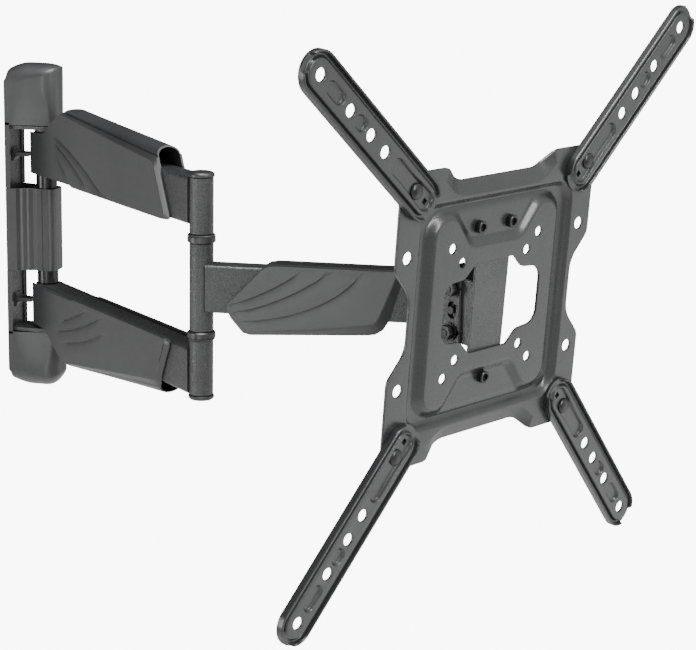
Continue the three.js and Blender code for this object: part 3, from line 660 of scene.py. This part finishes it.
def socket_head(radius, z0, z1):
    head = lathe([(0, z0), (radius, z0), (radius, z1 - 0.6), (radius - 0.6, z1), (3.2, z1),
                  (2.9, z1 - 0.3), (2.9, z1 - 2.6), (0, z1 - 3.2)], 36)
    return head


def make_level_screw(name, x, y):
    where = plate_frame @ Matrix.Translation((x, y, 0))
    low, high = -RECESS_DEPTH + 0.3, -RECESS_DEPTH + 4.6
    back = -RECESS_DEPTH - PLATE_SHEET - 3.1
    shank = lathe([(0, back - 5.5), (2.4, back - 5.5), (3, back - 4.9), (3, low), (0, low)], 24)
    place(f"level_screw_{name}_turned", joined(socket_head(4.9, low, high), shank), where,
          "screen_plate", "black_steel", [f"level_screw_{name}"])
    place(f"level_nut_{name}_turned", hex_block(5.8, back - 4.5, back), where,
          "screen_plate", "black_steel", [f"level_nut_{name}"], bevel=0.15)


def make_arm_bolt(name):
    sx = 1 if name.endswith("right") else -1
    sy = 1 if name.startswith("top") else -1
    where = plate_frame @ Matrix.Translation((sx * ARM_BOLT_PITCH, sy * ARM_BOLT_PITCH, 0))
    seat = PLATE_SHEET + 0.6
    dome = [(6.3 * math.sin(a), seat + 0.5 + 2.5 * math.cos(a))
            for a in (math.radians(k) for k in range(0, 91, 9))]
    head = lathe([*dome, (6.3, seat), (0, seat)])
    back = -PLATE_SHEET - 0.3
    shank = lathe([(0, back - 7.5), (3.2, back - 7.5), (3.9, back - 6.8), (3.9, seat + 0.2),
                   (0, seat + 0.2)], 28)
    flange = lathe([(0, back), (8.5, back), (8.5, back - 0.9), (7.4, back - 2.0), (0, back - 2.0)])
    nut = hex_block(7, back - 6.5, back - 1.2, 0.9)
    place(f"arm_bolt_{name}_turned", joined(head, shank), where, "screen_plate", "black_steel",
          [f"arm_bolt_{name}"])
    place(f"arm_nut_{name}_turned", joined(flange, nut), where, "screen_plate", "black_steel",
          [f"arm_nut_{name}"], bevel=0.15)


EXT_TIP = 142.6
EXT_INNER = -10
EXT_RADIUS = 16.5
EXT_HOLES = (50, 70.7, 100, 141.4)
DIMPLES = ((85.4, 1.4), (120.7, 5.4))      # centre and half length of the straight stretch


def boat_outline():
    """The long recess round the bolt, slightly waisted between its two round ends."""
    points = capsule(-12, 31, 7.2, 6.3)
    count = len(points) // 2
    upper = bezier((31, 6.3), (14, 5.2), (-2, 7.1), 8)
    lower = bezier((-2, -7.1), (14, -5.2), (31, -6.3), 8)
    return points[:count] + lower[:-1] + points[count:] + upper[1:]


def make_extension_arm(name, where):
    outline = capsule(EXT_INNER, EXT_TIP, EXT_RADIUS, steps=36)
    holes = [circle(x, 0, 4.8) for x in EXT_HOLES]
    square = [(-15.6, -2.1), (-11.4, -2.1), (-11.4, 2.1), (-15.6, 2.1)]
    holes.append(square)
    boat = boat_outline()
    dimples = [[(x + centre, y) for x, y in capsule(-half, half, 4.9, steps=12)]
               for centre, half in DIMPLES]
    rim = [(0, 5.3), (0.25, 5.95), (0.7, 6.3), (1.3, 6.3), (1.8, 5.9), (2.1, 4.6), (2.5, 2.95), (3.1, 2.35),
           (3.6, 2.3)]
    ridge = [(4.3, 0), (4.8, 0.35), (5.4, 1.6), (5.9, 2.5), (6.5, 2.8)]
    under = [(4.6, 0), (5.4, 0.6), (6.6, 2.3), (7.4, 2.8)]
    boat_bend = bend(2.6, 1.1)
    dimple_bend = bend(2.3, 1.2)

    def rim_part(points):
        """The rim stops at a notch in the tip and round the inner end."""
        tip = (points[:, 0] > EXT_TIP + 8) * np.clip((8.2 - np.abs(points[:, 1] - 1.5)) / 1.2, 0, 1)
        inner = (points[:, 0] < EXT_INNER - 5) * np.clip((11 - np.abs(points[:, 1])) / 1.5, 0, 1)
        return 1 - np.maximum(tip, inner)

    def dents(points):
        relief = profile(depth_inside(points, boat), boat_bend)
        for dimple in dimples:
            relief = relief + profile(depth_inside(points, dimple), dimple_bend)
        return relief

    def top(points):
        depth = depth_inside(points, outline)
        raised = profile(depth, rim)
        height = 2.3 + (raised - 2.3) * np.where(depth < 3.6, rim_part(points), 1)
        return height + profile(depth, ridge) + dents(points) + soft_edge(points, holes)

    def bottom(points):
        return 0.3 + profile(depth_inside(points, outline), under) + dents(points)

    guides = [(offset_loop(outline, -at), True) for at, _ in rim[1:] + ridge]
    guides += bend_guides(boat, boat_bend)
    for dimple in dimples:
        guides += bend_guides(dimple, dimple_bend)
    guides += [(offset_loop(hole, EDGE_SOFT), True) for hole in holes[:-1]]
    place(f"extension_arm_{name}_pressing", sheet(outline, holes, guides, top, bottom), where,
          f"extension_arm_{name}", "pressed_steel", [f"extension_arm_{name}"], sharp=50)


# ---------------------------------------------------------------- plastic arm covers

ARM_COVER_HALF = 13.6
RIDGE_HALF = 10.3
COVER_STATIONS = (0, 17, 24, 31, 38, 47, 60, 250)   # distances from the wall pivot
ARM_COVER_END = {"upper": 103.0, "lower": 96.5}     # ridge height at the last station
FEATHER_DEPTH = 1.0
FEATHER_STATIONS = ((0.0, 0.0), (0.5, 1.0), (2.2, 0.6), (5.5, 0.22), (10.0, 0.0))


def feather_depth(points, curves, outline):
    """How deep the feathered swooshes cut into a cover's flat side."""
    depth = np.zeros(len(points))
    for curve in curves:
        distance, side = path_distance(points, curve, False)
        ends = np.array([curve[0], curve[-1]])
        fade = np.min([np.linalg.norm(points - end, axis=1) for end in ends], axis=0)
        dip = profile(distance, FEATHER_STATIONS) * (side > -0.5)
        depth = np.maximum(depth, dip * np.clip(fade / 14, 0, 1))
    return FEATHER_DEPTH * depth * np.clip(depth_inside(points, outline) / 1.2, 0, 1)


def cover_side(loop, y, curves):
    """The flat side of a cover at y, with its swooshes pressed in towards the middle."""
    guides = []
    for curve in curves:
        for at, _ in FEATHER_STATIONS:
            guides += clip_guide(offset_path(curve, -at), loop, 0.35)
    guides += clip_guide(offset_loop(loop, -1.2), loop, 0.6, closed=True)
    flat, faces = triangulate(loop, [], guides)
    inwards = -1 if y > 0 else 1
    depth = feather_depth(flat, curves, loop)
    bm = bmesh.new()
    verts = [bm.verts.new((s, y + inwards * d, z)) for (s, z), d in zip(flat, depth)]
    for face in faces:
        bm.faces.new([verts[i] for i in face])
    return bm


def cover_shell(half, levels, ring, near_curves, far_curves):
    """Closed cover: rings of (s, z) points at each level of y, and a feathered side at each end."""
    rows = [[(s, y, z) for s, z in ring(abs(y))] for y in levels]
    skin = loft(rows, closed_ends=False)
    near_side = cover_side(ring(half), -half, near_curves)
    far_side = cover_side(ring(half), half, far_curves)
    return joined(skin, near_side, far_side)


def ridge_height(s, end):
    """Height of the rounded ridge along the arm, which ends at the height end."""
    return np.interp(s, COVER_STATIONS, (87.3, 87.6, 90.6, 95.6, 101.6, 108.0, 113.7, end))


def face_height(s, end):
    """Height of the upper edge of the flat side along the arm."""
    return np.interp(s, COVER_STATIONS, (86.6, 86.8, 89.4, 94.0, 99.2, 105.0, 109.4, end - 13))


def arm_cover_ring(y, end):
    """Outline of an arm cover, the right way up, at a distance y from its middle plane."""
    side = np.clip((y - 11.5) / (ARM_COVER_HALF - 11.5), 0, 1)
    lip = 0.8 * np.clip((y - 13.0) / 0.6, 0, 1) ** 2

    def top(s):
        ridge, face = ridge_height(s, end), face_height(s, end)
        shoulder = face + 0.42 * (ridge - face)
        if y <= RIDGE_HALF:
            return shoulder + (ridge - shoulder) * math.sqrt(1 - (y / RIDGE_HALF) ** 2)
        groove = 1.9 * np.clip((11.7 - y) / 0.4, 0, 1)
        return shoulder + (face - shoulder) * side - groove

    slant_low = Vector((253, 51))
    slant_high = Vector((226.5, 106))
    bevel = 5.6 * side
    end_height = top(229)
    left = -math.sqrt(14 ** 2 - min(y, 13.6) ** 2)
    points = [(left, ARM_LOW + 0.7 + lip), (30, ARM_LOW + 0.7 + lip), (74, ARM_LOW + 0.7 + lip),
              (79, 48.8 + lip), (150, 48.3 + lip), (243 - bevel, 47.8 + lip), (249 - bevel, 48.4 + lip),
              (252.3 - bevel, 50.6 + lip)]
    for part in (0.08, 0.35, 0.62, 0.86, 1.0):
        z = slant_low.y + (end_height - slant_low.y) * part
        along = (z - slant_low.y) / (slant_high.y - slant_low.y)
        s = slant_low.x + (slant_high.x - slant_low.x) * along
        points.append((s - bevel, z))
    for s in (216, 190, 160, 130, 100, 76, 60, 54, 47, 42, 38, 34.5, 31, 27.5, 24, 20.5, 17):
        points.append((s, top(s)))
    points += [(6, top(6)), (left, top(0))]
    return points


def make_arm_cover(name, near_curves, far_curves, upside_down):
    """Hollow cover over one main arm; the lower arm's is the upper arm's shape upside down."""
    flip = Matrix.Scale(-1, 4, (0, 0, 1)) if upside_down else Matrix.Identity(4)

    def as_upper(curves):
        return [[(s, -z if upside_down else z) for s, z in curve] for curve in curves]

    half_levels = [ARM_COVER_HALF, 13.5, 13.3, 12.6, 11.72, 11.3, 10.7, 10.32, 10.28, 9.9, 9.2,
                   7.8, 6.0, 4.0, 2.0]
    levels = [-y for y in half_levels] + [0.0] + half_levels[::-1]
    end = ARM_COVER_END["lower" if upside_down else "upper"]
    shell = cover_shell(ARM_COVER_HALF, levels, lambda y: arm_cover_ring(y, end),
                        as_upper(near_curves), as_upper(far_curves))

    slot = box(-40, 270, -TUBE_HALF_WIDTH - 0.3, TUBE_HALF_WIDTH + 0.3, 30, ARM_TOP + 0.3)
    barrel = lathe([(0, 30), (11.4, 30), (11.4, ARM_TOP + 0.3), (0, ARM_TOP + 0.3)])
    tunnel_rows = []
    for s in (40, 47, 60, 120, 190, 275):
        ridge, face = ridge_height(s, end) - 2.0, face_height(s, end)
        shoulder = face + 0.42 * (ridge - face) - 1.0
        arch = [(9.4 * math.cos(a), shoulder + (ridge - shoulder) * math.sin(a))
                for a in (math.radians(k) for k in range(0, 181, 15))]
        tunnel_rows.append([(s, y, z) for y, z in [(-9.4, 80), (9.4, 80), *arch]])
    bm = cut_away(shell, slot, barrel, loft(tunnel_rows))
    place(name + "_moulding", moved(bm, flip), arm_frame, "main_arm", "satin_plastic", [name], sharp=32)


FOREARM_COVER_HALF = 13.0

# Outline points (s, z) of the forearm's cover and of its flat side, which is smaller by the bevel.
FOREARM_COVER_POINTS = (
    ((22.3, -11), (22.8, -11)), ((22.6, -16), (23.3, -15.6)), ((26, -22.2), (26.6, -21.6)),
    ((31, -28), (31.4, -27)), ((35.5, -33), (35.8, -30.4)), ((41, -34.6), (41.5, -31)),
    ((81, -32.6), (81, -29)), ((110, -31.2), (110, -25.2)), ((133, -30), (133, -22.2)),
    ((140, -29), (138, -21.1)), ((146, -25.2), (141, -19.2)), ((150.4, -18), (143.2, -15.2)),
    ((155.8, 0), (149.3, 0)), ((160.4, 16.5), (155.8, 16.5)), ((160.6, 20.4), (157.2, 20.8)),
    ((159, 21.5), (155.5, 21.5)), ((130, 21.5), (130, 21.5)), ((100, 21.5), (100, 21.5)),
    ((60, 21.5), (60, 21.4)), ((54, 20.8), (54.6, 20.4)), ((50, 18.3), (50.6, 17.9)),
    ((37, 4.5), (37.5, 4.1)), ((25, -8), (25.5, -8.2)),
)


def forearm_cover_ring(y):
    side = float(np.clip((y - 10.6) / (FOREARM_COVER_HALF - 10.6), 0, 1))
    return [(a[0] + (b[0] - a[0]) * side, a[1] + (b[1] - a[1]) * side) for a, b in FOREARM_COVER_POINTS]


def make_forearm_cover():
    curves = [bezier((83, 20), (60, 1), (23, -12)), bezier((105, 20), (70, -8), (25, -17.5)),
              bezier((129, 19.5), (101, -18), (31, -24))]
    levels = [-13.0, -12.4, -10.6, -5, 0, 5, 10.6, 12.4, 13.0]
    shell = cover_shell(FOREARM_COVER_HALF, levels, forearm_cover_ring, curves, curves)
    slot = box(-5, 200, -10.3, 10.3, -FOREARM_HALF - 0.3, 60)
    channel_loop = [(s, z + 2.4) for s, z in forearm_cover_ring(0)]
    channel = upright(extrude(channel_loop, -6.2, 6.2))
    bm = cut_away(shell, slot, channel)
    place("forearm_cover_moulding", bm, forearm_frame, "forearm", "satin_plastic", ["forearm_cover"],
          sharp=32)


# ---------------------------------------------------------------- arms

def rectangular_tube(x0, x1, z0, z1, corner=2.6):
    half = TUBE_HALF_WIDTH
    section = rounded([(half, z0, corner), (half, z1, corner), (-half, z1, corner), (-half, z0, corner)], 6)
    return loft([[(x, y, z) for y, z in section] for x in (x0, x1)])


def column(radius, z0, z1, x=0.0, edge=0.5):
    points = [(0, z0), (radius - edge, z0), (radius, z0 + edge),
              (radius, z1 - edge), (radius - edge, z1), (0, z1)]
    return moved(lathe(points, 64), Matrix.Translation((x, 0, 0)))


def weld_bead(x, z0, z1, side):
    """A short rippled bead down one side of the joint between tube and column."""
    rows = []
    steps = 40
    for step in range(steps + 1):
        z = z0 + (z1 - z0) * step / steps
        swell = 1.25 + 0.28 * math.sin(step * 2.4) + 0.12 * math.sin(step * 5.1)
        taper = min(1.0, 0.25 + min(step, steps - step) / 3)
        ring = []
        for k in range(10):
            a = 2 * math.pi * k / 10
            ring.append((x + swell * taper * math.cos(a), side * 8.6 + swell * taper * math.sin(a), z))
        rows.append(ring)
    return loft(rows)


def make_main_arm():
    column_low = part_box("upper_column_ring")[1].z / MM + 0.3
    for name, sign in (("upper_arm", 1), ("lower_arm", -1)):
        flip = Matrix.Scale(sign, 4, (0, 0, 1))
        tube = rectangular_tube(4, ARM_LENGTH - 5, ARM_TOP - 37.6, ARM_TOP)
        beads = [weld_bead(ARM_LENGTH - 9.3, ARM_TOP - 36, ARM_TOP - 3, side) for side in (-1, 1)]
        barrel = column(10.9, ARM_TOP - 37.6, ARM_TOP)
        post = column(COLUMN_RADIUS, column_low, ARM_TOP, ARM_LENGTH)
        place(f"{name}_weldment", moved(joined(tube, barrel, post, *beads), flip), arm_frame, "main_arm",
              "powder_coated_steel", [name])

    elbow = arm_frame @ Matrix.Translation((ARM_LENGTH, 0, 0))
    low, high = 35.5, 42
    ring = [(7, low), (10.4, low), (11.2, low + 0.8), (11.2, high - 1.9), (10.5, high - 1.5),
            (10.5, high - 1.1), (11.0, high - 0.8), (10.6, high), (7, high), (7, low)]
    cap = [(0, 87.4), (10.0, 87.4), (10.3, 87.8), (10.3, 89.2), (9.9, 90.0), (8.8, 90.9), (7.0, 91.4),
           (0, 91.7)]
    for side, sign in (("upper", 1), ("lower", -1)):
        flip = Matrix.Scale(sign, 4, (0, 0, 1))
        place(f"{side}_column_bush", moved(lathe(ring, 64), flip), elbow, "main_arm", "nylon",
              [f"{side}_column_ring"])
        end = "top" if sign > 0 else "bottom"
        place(f"column_{end}_plug", moved(lathe(cap, 64), flip), elbow, "main_arm", "nylon",
              [f"column_{end}_cap"])
    tube = column(PIVOT_TUBE_RADIUS, -PIVOT_TUBE_HALF, PIVOT_TUBE_HALF)
    place("wall_pivot_sleeve", tube, pivot_frame, "main_arm", "black_steel", ["wall_pivot_tube"])


def make_forearm():
    tube = rectangular_tube(5, FOREARM_LENGTH - 6, -FOREARM_HALF, FOREARM_HALF)
    post = column(COLUMN_RADIUS, -FOREARM_POST_HALF, FOREARM_POST_HALF)
    barrel = column(10.9, -FOREARM_HALF, FOREARM_HALF, FOREARM_LENGTH)
    beads = [weld_bead(9.3, -18, 17, side) for side in (-1, 1)]
    place("forearm_weldment", joined(tube, post, barrel, *beads), forearm_frame, "forearm",
          "powder_coated_steel", ["forearm"])


# ---------------------------------------------------------------- wall covers

NOSE_RADIUS = 15.6
END_COVER_WALL = 1.8
END_COVER_SIDE_WALL = 1.7


def nose_plan(side_depth, radius, half):
    """Plan of an end cover: flat sides at the wall and flanks that touch a round nose."""
    centre = PIVOT_OUT + NOSE_RADIUS - radius
    gap = Vector((half, centre - side_depth))
    start = math.atan2(gap.y, gap.x) - math.acos(radius / gap.length)
    steps = 28
    arc = []
    for step in range(steps + 1):
        angle = start - (math.pi + 2 * start) * step / steps
        arc.append((radius * math.cos(angle), radius * math.sin(angle) - centre))
    flank = [(half + (arc[0][0] - half) * t, -side_depth + (arc[0][1] + side_depth) * t)
             for t in (0, 0.3, 0.6, 0.85)]
    right = [(half, 0), (half, -side_depth / 2), *flank]
    left = [(-x, y) for x, y in reversed(right)]
    return (right + arc + left)[::-1]


END_COVERS = {                     # crest height, and how far it falls towards the front
    "top_wall_cover": (WALL_TOP, 3.0),
    "bottom_wall_cover": (WALL_TOP - 3.6, 15.0),
}


def dome_height(x, y, crest, front_fall):
    """Top of an end cover: an arch across it that falls towards the wall and towards the front."""
    x = np.clip(np.abs(x), 0, COVER_ARCH)
    y = np.asarray(y)
    arch = crest - COVER_ARCH + np.sqrt(COVER_ARCH ** 2 - x ** 2)
    fall = 6.0 * (1 - (x / COVER_ARCH) ** 2)
    return arch - fall * np.clip(1 + y / 19, 0, 1) ** 2 - front_fall * np.clip((-y - 28) / 20, 0, 1) ** 3


def end_cover_plan(rise, shrink):
    """Plan of an end cover at a height above its lower edge: the nose widens from the bottom up."""
    t = np.clip(rise / 26, 0, 1)
    radius = 10.6 + (NOSE_RADIUS - 10.6) * t
    depth = 9.0 + 4.3 * np.clip(rise / 39, 0, 1)
    plan = nose_plan(depth, radius, COVER_HALF_WIDTH)
    return offset_loop(plan, -shrink) if shrink else plan


def make_end_cover(name, upside_down):
    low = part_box("upper_arm")[1].z / MM + 6.2
    edge = 1.3
    crest, front_fall = END_COVERS[name]
    spring = crest - COVER_ARCH

    def height(x, y):
        return float(dome_height(x, y, crest, front_fall))

    rows = []
    for part in (0, 0.08, 0.18, 0.3, 0.45, 0.6, 0.8, 1.0):
        plan = end_cover_plan(part * (spring - low), 0)
        rows.append([(x, y, low + part * (height(x, y) - edge - low)) for x, y in plan])
    top_plan = end_cover_plan(spring - low, 0)
    for k in range(1, 7):
        a = math.radians(90 * k / 6)
        ring = offset_loop(top_plan, -edge * (1 - math.cos(a)))
        rows.append([(x, min(y, 0), height(x, y) - edge * (1 - math.sin(a))) for x, y in ring])
    skin = loft(rows, closed_ends=False)
    rim = [(x, y) for x, y, _ in rows[-1]]
    guides = [stretch for k in range(-11, 12)
              for stretch in clip_guide([(1.5 * k, -y) for y in range(0, 60)], rim, 0.2)]
    flat, faces = triangulate(rim, [], guides)
    lid = bmesh.new()
    verts = [lid.verts.new((x, y, height(x, y))) for x, y in flat]
    for face in faces:
        lid.faces.new([verts[i] for i in face])
    base = bmesh.new()
    base.faces.new([base.verts.new(p) for p in rows[0]])
    shell = joined(skin, lid, base)

    cavity_top = spring - 1.2 - low
    inner = [[(x, y, low + z) for x, y in end_cover_plan(max(z, 0), END_COVER_WALL)]
             for z in (-12, 0, 4, 8, 12, 18, 26, cavity_top)]
    bm = cut_away(shell, loft(inner))
    inner_half = COVER_HALF_WIDTH - END_COVER_SIDE_WALL
    strips = [box(min(a, b), max(a, b), -4.6, 0, MID_HALF + 0.3, low + 2)
              for a, b in ((inner_half, COVER_HALF_WIDTH), (-inner_half, -COVER_HALF_WIDTH))]
    flip = Matrix.Scale(-1 if upside_down else 1, 4, (0, 0, 1))
    place(name + "_moulding", moved(joined(bm, *strips), flip), wall_frame, "wall_bracket",
          "satin_plastic", [name], sharp=32)


def make_middle_cover():
    """Cable cover with fluted flanks. Its plan is the same from top to bottom."""
    front = MID_FRONT
    side = COVER_HALF_WIDTH
    half = [(side, 0, 0), (side, -9.8, 0.8), (14.4, -12.4, 1.0), (14.7, -15.0, 0.8), (12.9, -18.2, 0.8),
            (13.1, -20.0, 0.8), (11.2, -23.6, 1.0), (11.0, -26.0, 0.6), (11.5, -27.0, 0.4),
            (11.5, -31.6, 0.3), (10.8, -32.4, 0.3), (10.8, -37.2, 0.3), (11.5, -38.0, 0.3),
            (11.5, -front, 4.8)]
    outer = rounded(half + [(-x, y, r) for x, y, r in reversed(half)], 4)
    inner = [(15.4, 1), (15.4, -8.8), (12.6, -12.5), (9.9, -22.5), (9.9, 4.6 - front), (6.6, 1.5 - front)]
    inner = inner + [(-x, y) for x, y in reversed(inner)]
    bm = cut_away(extrude(outer, -MID_HALF, MID_HALF), extrude(inner, -MID_HALF - 2, MID_HALF + 2))
    place("middle_cable_cover_moulding", bm, wall_frame, "wall_bracket", "satin_plastic",
          ["middle_cable_cover"], bevel=0.35, sharp=38)


# ---------------------------------------------------------------- head hardware

CHEEK_OUT = 22
GUIDE_HEIGHT = 17                  # guide bolts above and below the tilt axis


def make_tilt_hardware():
    for name, z in (("upper", GUIDE_HEIGHT), ("lower", -GUIDE_HEIGHT)):
        washer = along_y(lathe([(0, 0), (7, 0), (7, 1.2), (6.6, 1.6), (0, 1.6)]), 0, -CHEEK_OUT - 1.9, z)
        nut = along_y(hex_block(5.8, 0, 4.3), 0, -CHEEK_OUT - 6.4, z)
        stem = [(0, -29), (2.4, -29), (3, -28.4), (3, CHEEK_OUT + 1), (0, CHEEK_OUT + 1)]
        shank = along_y(lathe(stem, 24), 0, 0, z)
        head = along_y(hex_block(5.8, 0, 4.3), 0, CHEEK_OUT + 0.3, z)
        place(f"tilt_guide_washer_{name}_turned", washer, tilt_frame, "tilt_carrier", "black_steel",
              [f"tilt_guide_washer_{name}"])
        place(f"tilt_guide_nut_{name}_turned", nut, tilt_frame, "tilt_carrier", "black_steel",
              [f"tilt_guide_nut_{name}"], bevel=0.15)
        place(f"tilt_guide_bolt_{name}_turned", joined(shank, head), tilt_frame, "tilt_carrier",
              "black_steel", [f"tilt_guide_bolt_{name}"])


def make_knob():
    """Six-lobed clamping knob with a domed face."""
    rows = []
    profile_rows = ((23.6, 0.9), (24.0, 0.97), (24.6, 1.0), (26.4, 1.0), (27.1, 0.96), (27.6, 0.88),
                    (27.8, 0.74))
    for y, scale in profile_rows:
        ring = []
        for k in range(72):
            a = 2 * math.pi * k / 72
            radius = (10.25 + 0.5 * math.cos(6 * a)) * scale
            ring.append((radius * math.cos(a), y, radius * math.sin(a)))
        rows.append(ring)
    place("tilt_knob_moulding", loft(rows), tilt_frame, "tilt_knob", "nylon", ["tilt_knob"])


# ---------------------------------------------------------------- build

make_screen_plate()
make_level_screw("top_left", -TOP_SCREWS[0], TOP_SCREWS[1])
make_level_screw("top_right", *TOP_SCREWS)
make_level_screw("bottom", 0, BOTTOM_SCREW)
for corner in CORNERS:
    make_arm_bolt(corner)
    make_extension_arm(corner, extension_frames[corner])
make_main_arm()
make_forearm()
upper_lines = [bezier((140, 49.5), (90, 79), (39, 91)), bezier((110, 51.5), (78, 73), (38, 85.5)),
               bezier((74, 52.5), (60, 66), (42, 79))]
lower_lines = [bezier((50, -74), (84, -64), (108, -51)), bezier((40, -84), (98, -73), (137, -51)),
               bezier((55, -91), (103, -84.5), (142, -64.5))]
make_arm_cover("upper_arm_cover", upper_lines, upper_lines, False)
make_arm_cover("lower_arm_cover", lower_lines, lower_lines, True)
make_forearm_cover()
make_end_cover("top_wall_cover", False)
make_end_cover("bottom_wall_cover", True)
make_middle_cover()
make_tilt_hardware()
make_knob()


# ---------------------------------------------------------------- stage, light and camera

FLOOR_HALF = 30.0                  # metres
FLOOR_DROP = 1.1                   # metres below the lowest piece
FLOOR_GLOW = 8                     # emission, seen by the camera only


def make_stage():
    """A pale floor that the camera sees as white, like the photograph's background."""
    low = min(p.z for p in (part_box("extension_arm_bottom_left")[0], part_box("bottom_wall_cover")[0]))
    height = low - FLOOR_DROP
    bm = bmesh.new()
    bm.faces.new([bm.verts.new((x, y, height))
                  for x, y in ((-FLOOR_HALF, -FLOOR_HALF), (FLOOR_HALF, -FLOOR_HALF),
                               (FLOOR_HALF, FLOOR_HALF), (-FLOOR_HALF, FLOOR_HALF))])
    mesh = bpy.data.meshes.new("floor")
    bm.to_mesh(mesh)
    bm.free()
    floor = bpy.data.objects.new("floor", mesh)
    bpy.context.scene.collection.objects.link(floor)
    material, tree, shader = new_material("pale_floor", (0.90, 0.90, 0.90), 0.9)
    vary_color(tree, shader, ramp(tree, noise(tree, 1.5), 0.3, 0.7, 0.0, 1.0),
               (0.89, 0.89, 0.89), (0.91, 0.91, 0.91))
    rays = tree.nodes.new("ShaderNodeLightPath")
    shader.inputs["Emission Color"].default_value = (1, 1, 1, 1)
    glow = ramp(tree, rays.outputs["Is Camera Ray"], 0, 1, 0, FLOOR_GLOW)
    tree.links.new(glow, shader.inputs["Emission Strength"])
    mesh.materials.append(material)


def area_light(name, location, target, size, power):
    data = bpy.data.lights.new(name, "AREA")
    data.shape = "RECTANGLE"
    data.size, data.size_y = size
    data.energy = power
    light = bpy.data.objects.new(name, data)
    bpy.context.scene.collection.objects.link(light)
    light.location = location
    direction = Vector(target) - Vector(location)
    light.rotation_euler = direction.to_track_quat("-Z", "Y").to_euler()
    return light


def make_lights():
    """A room lit from above and from the front, and dark on the side of the wall."""
    world = bpy.data.worlds.new("studio")
    world.use_nodes = True
    tree = world.node_tree
    coordinates = tree.nodes.new("ShaderNodeTexCoord")
    facing = tree.nodes.new("ShaderNodeVectorMath")
    facing.operation = "DOT_PRODUCT"
    facing.inputs[1].default_value = Vector((-0.25, -0.75, 0.62)).normalized()
    tree.links.new(coordinates.outputs["Generated"], facing.inputs[0])
    background = tree.nodes["Background"]
    background.inputs["Color"].default_value = (1, 1, 1, 1)
    tree.links.new(ramp(tree, facing.outputs["Value"], 0.1, 0.95, 0.02, 2.0), background.inputs["Strength"])
    bpy.context.scene.world = world
    middle = (pivot("wall_swing") + pivot("level")) / 2
    area_light("top_softbox", (-0.5, -0.3, 1.7), middle, (0.7, 0.7), 60)
    area_light("key_softbox", (-1.2, -2.2, 1.0), middle, (0.4, 1.6), 60)
    area_light("plate_softbox", (0.3, -1.8, -0.5), middle, (0.9, 1.1), 4)
    area_light("wall_side_softbox", (-1.3, 1.4, 0.1), middle, (0.5, 1.3), 26)
    area_light("left_softbox", (-2.6, -0.1, -0.1), middle, (0.8, 1.2), 15)


def make_camera():
    """The photograph's viewpoint: low, in front of the wall and well to its left."""
    yaw, pitch, roll = math.radians(14.005), math.radians(13.008), math.radians(1.015)
    data = bpy.data.cameras.new("camera")
    data.sensor_width = 36.0
    data.lens = 109.9
    data.clip_end = 100.0
    camera = bpy.data.objects.new("camera", data)
    bpy.context.scene.collection.objects.link(camera)
    forward = Vector((math.cos(yaw) * math.cos(pitch), math.sin(yaw) * math.cos(pitch), -math.sin(pitch)))
    turn = forward.to_track_quat("-Z", "Y").to_matrix().to_4x4()
    camera.matrix_world = (Matrix.Translation((-1.7475, -0.7465, 0.3476)) @ turn
                           @ Matrix.Rotation(roll, 4, "Z"))
    bpy.context.scene.camera = camera


make_stage()
make_lights()
make_camera()
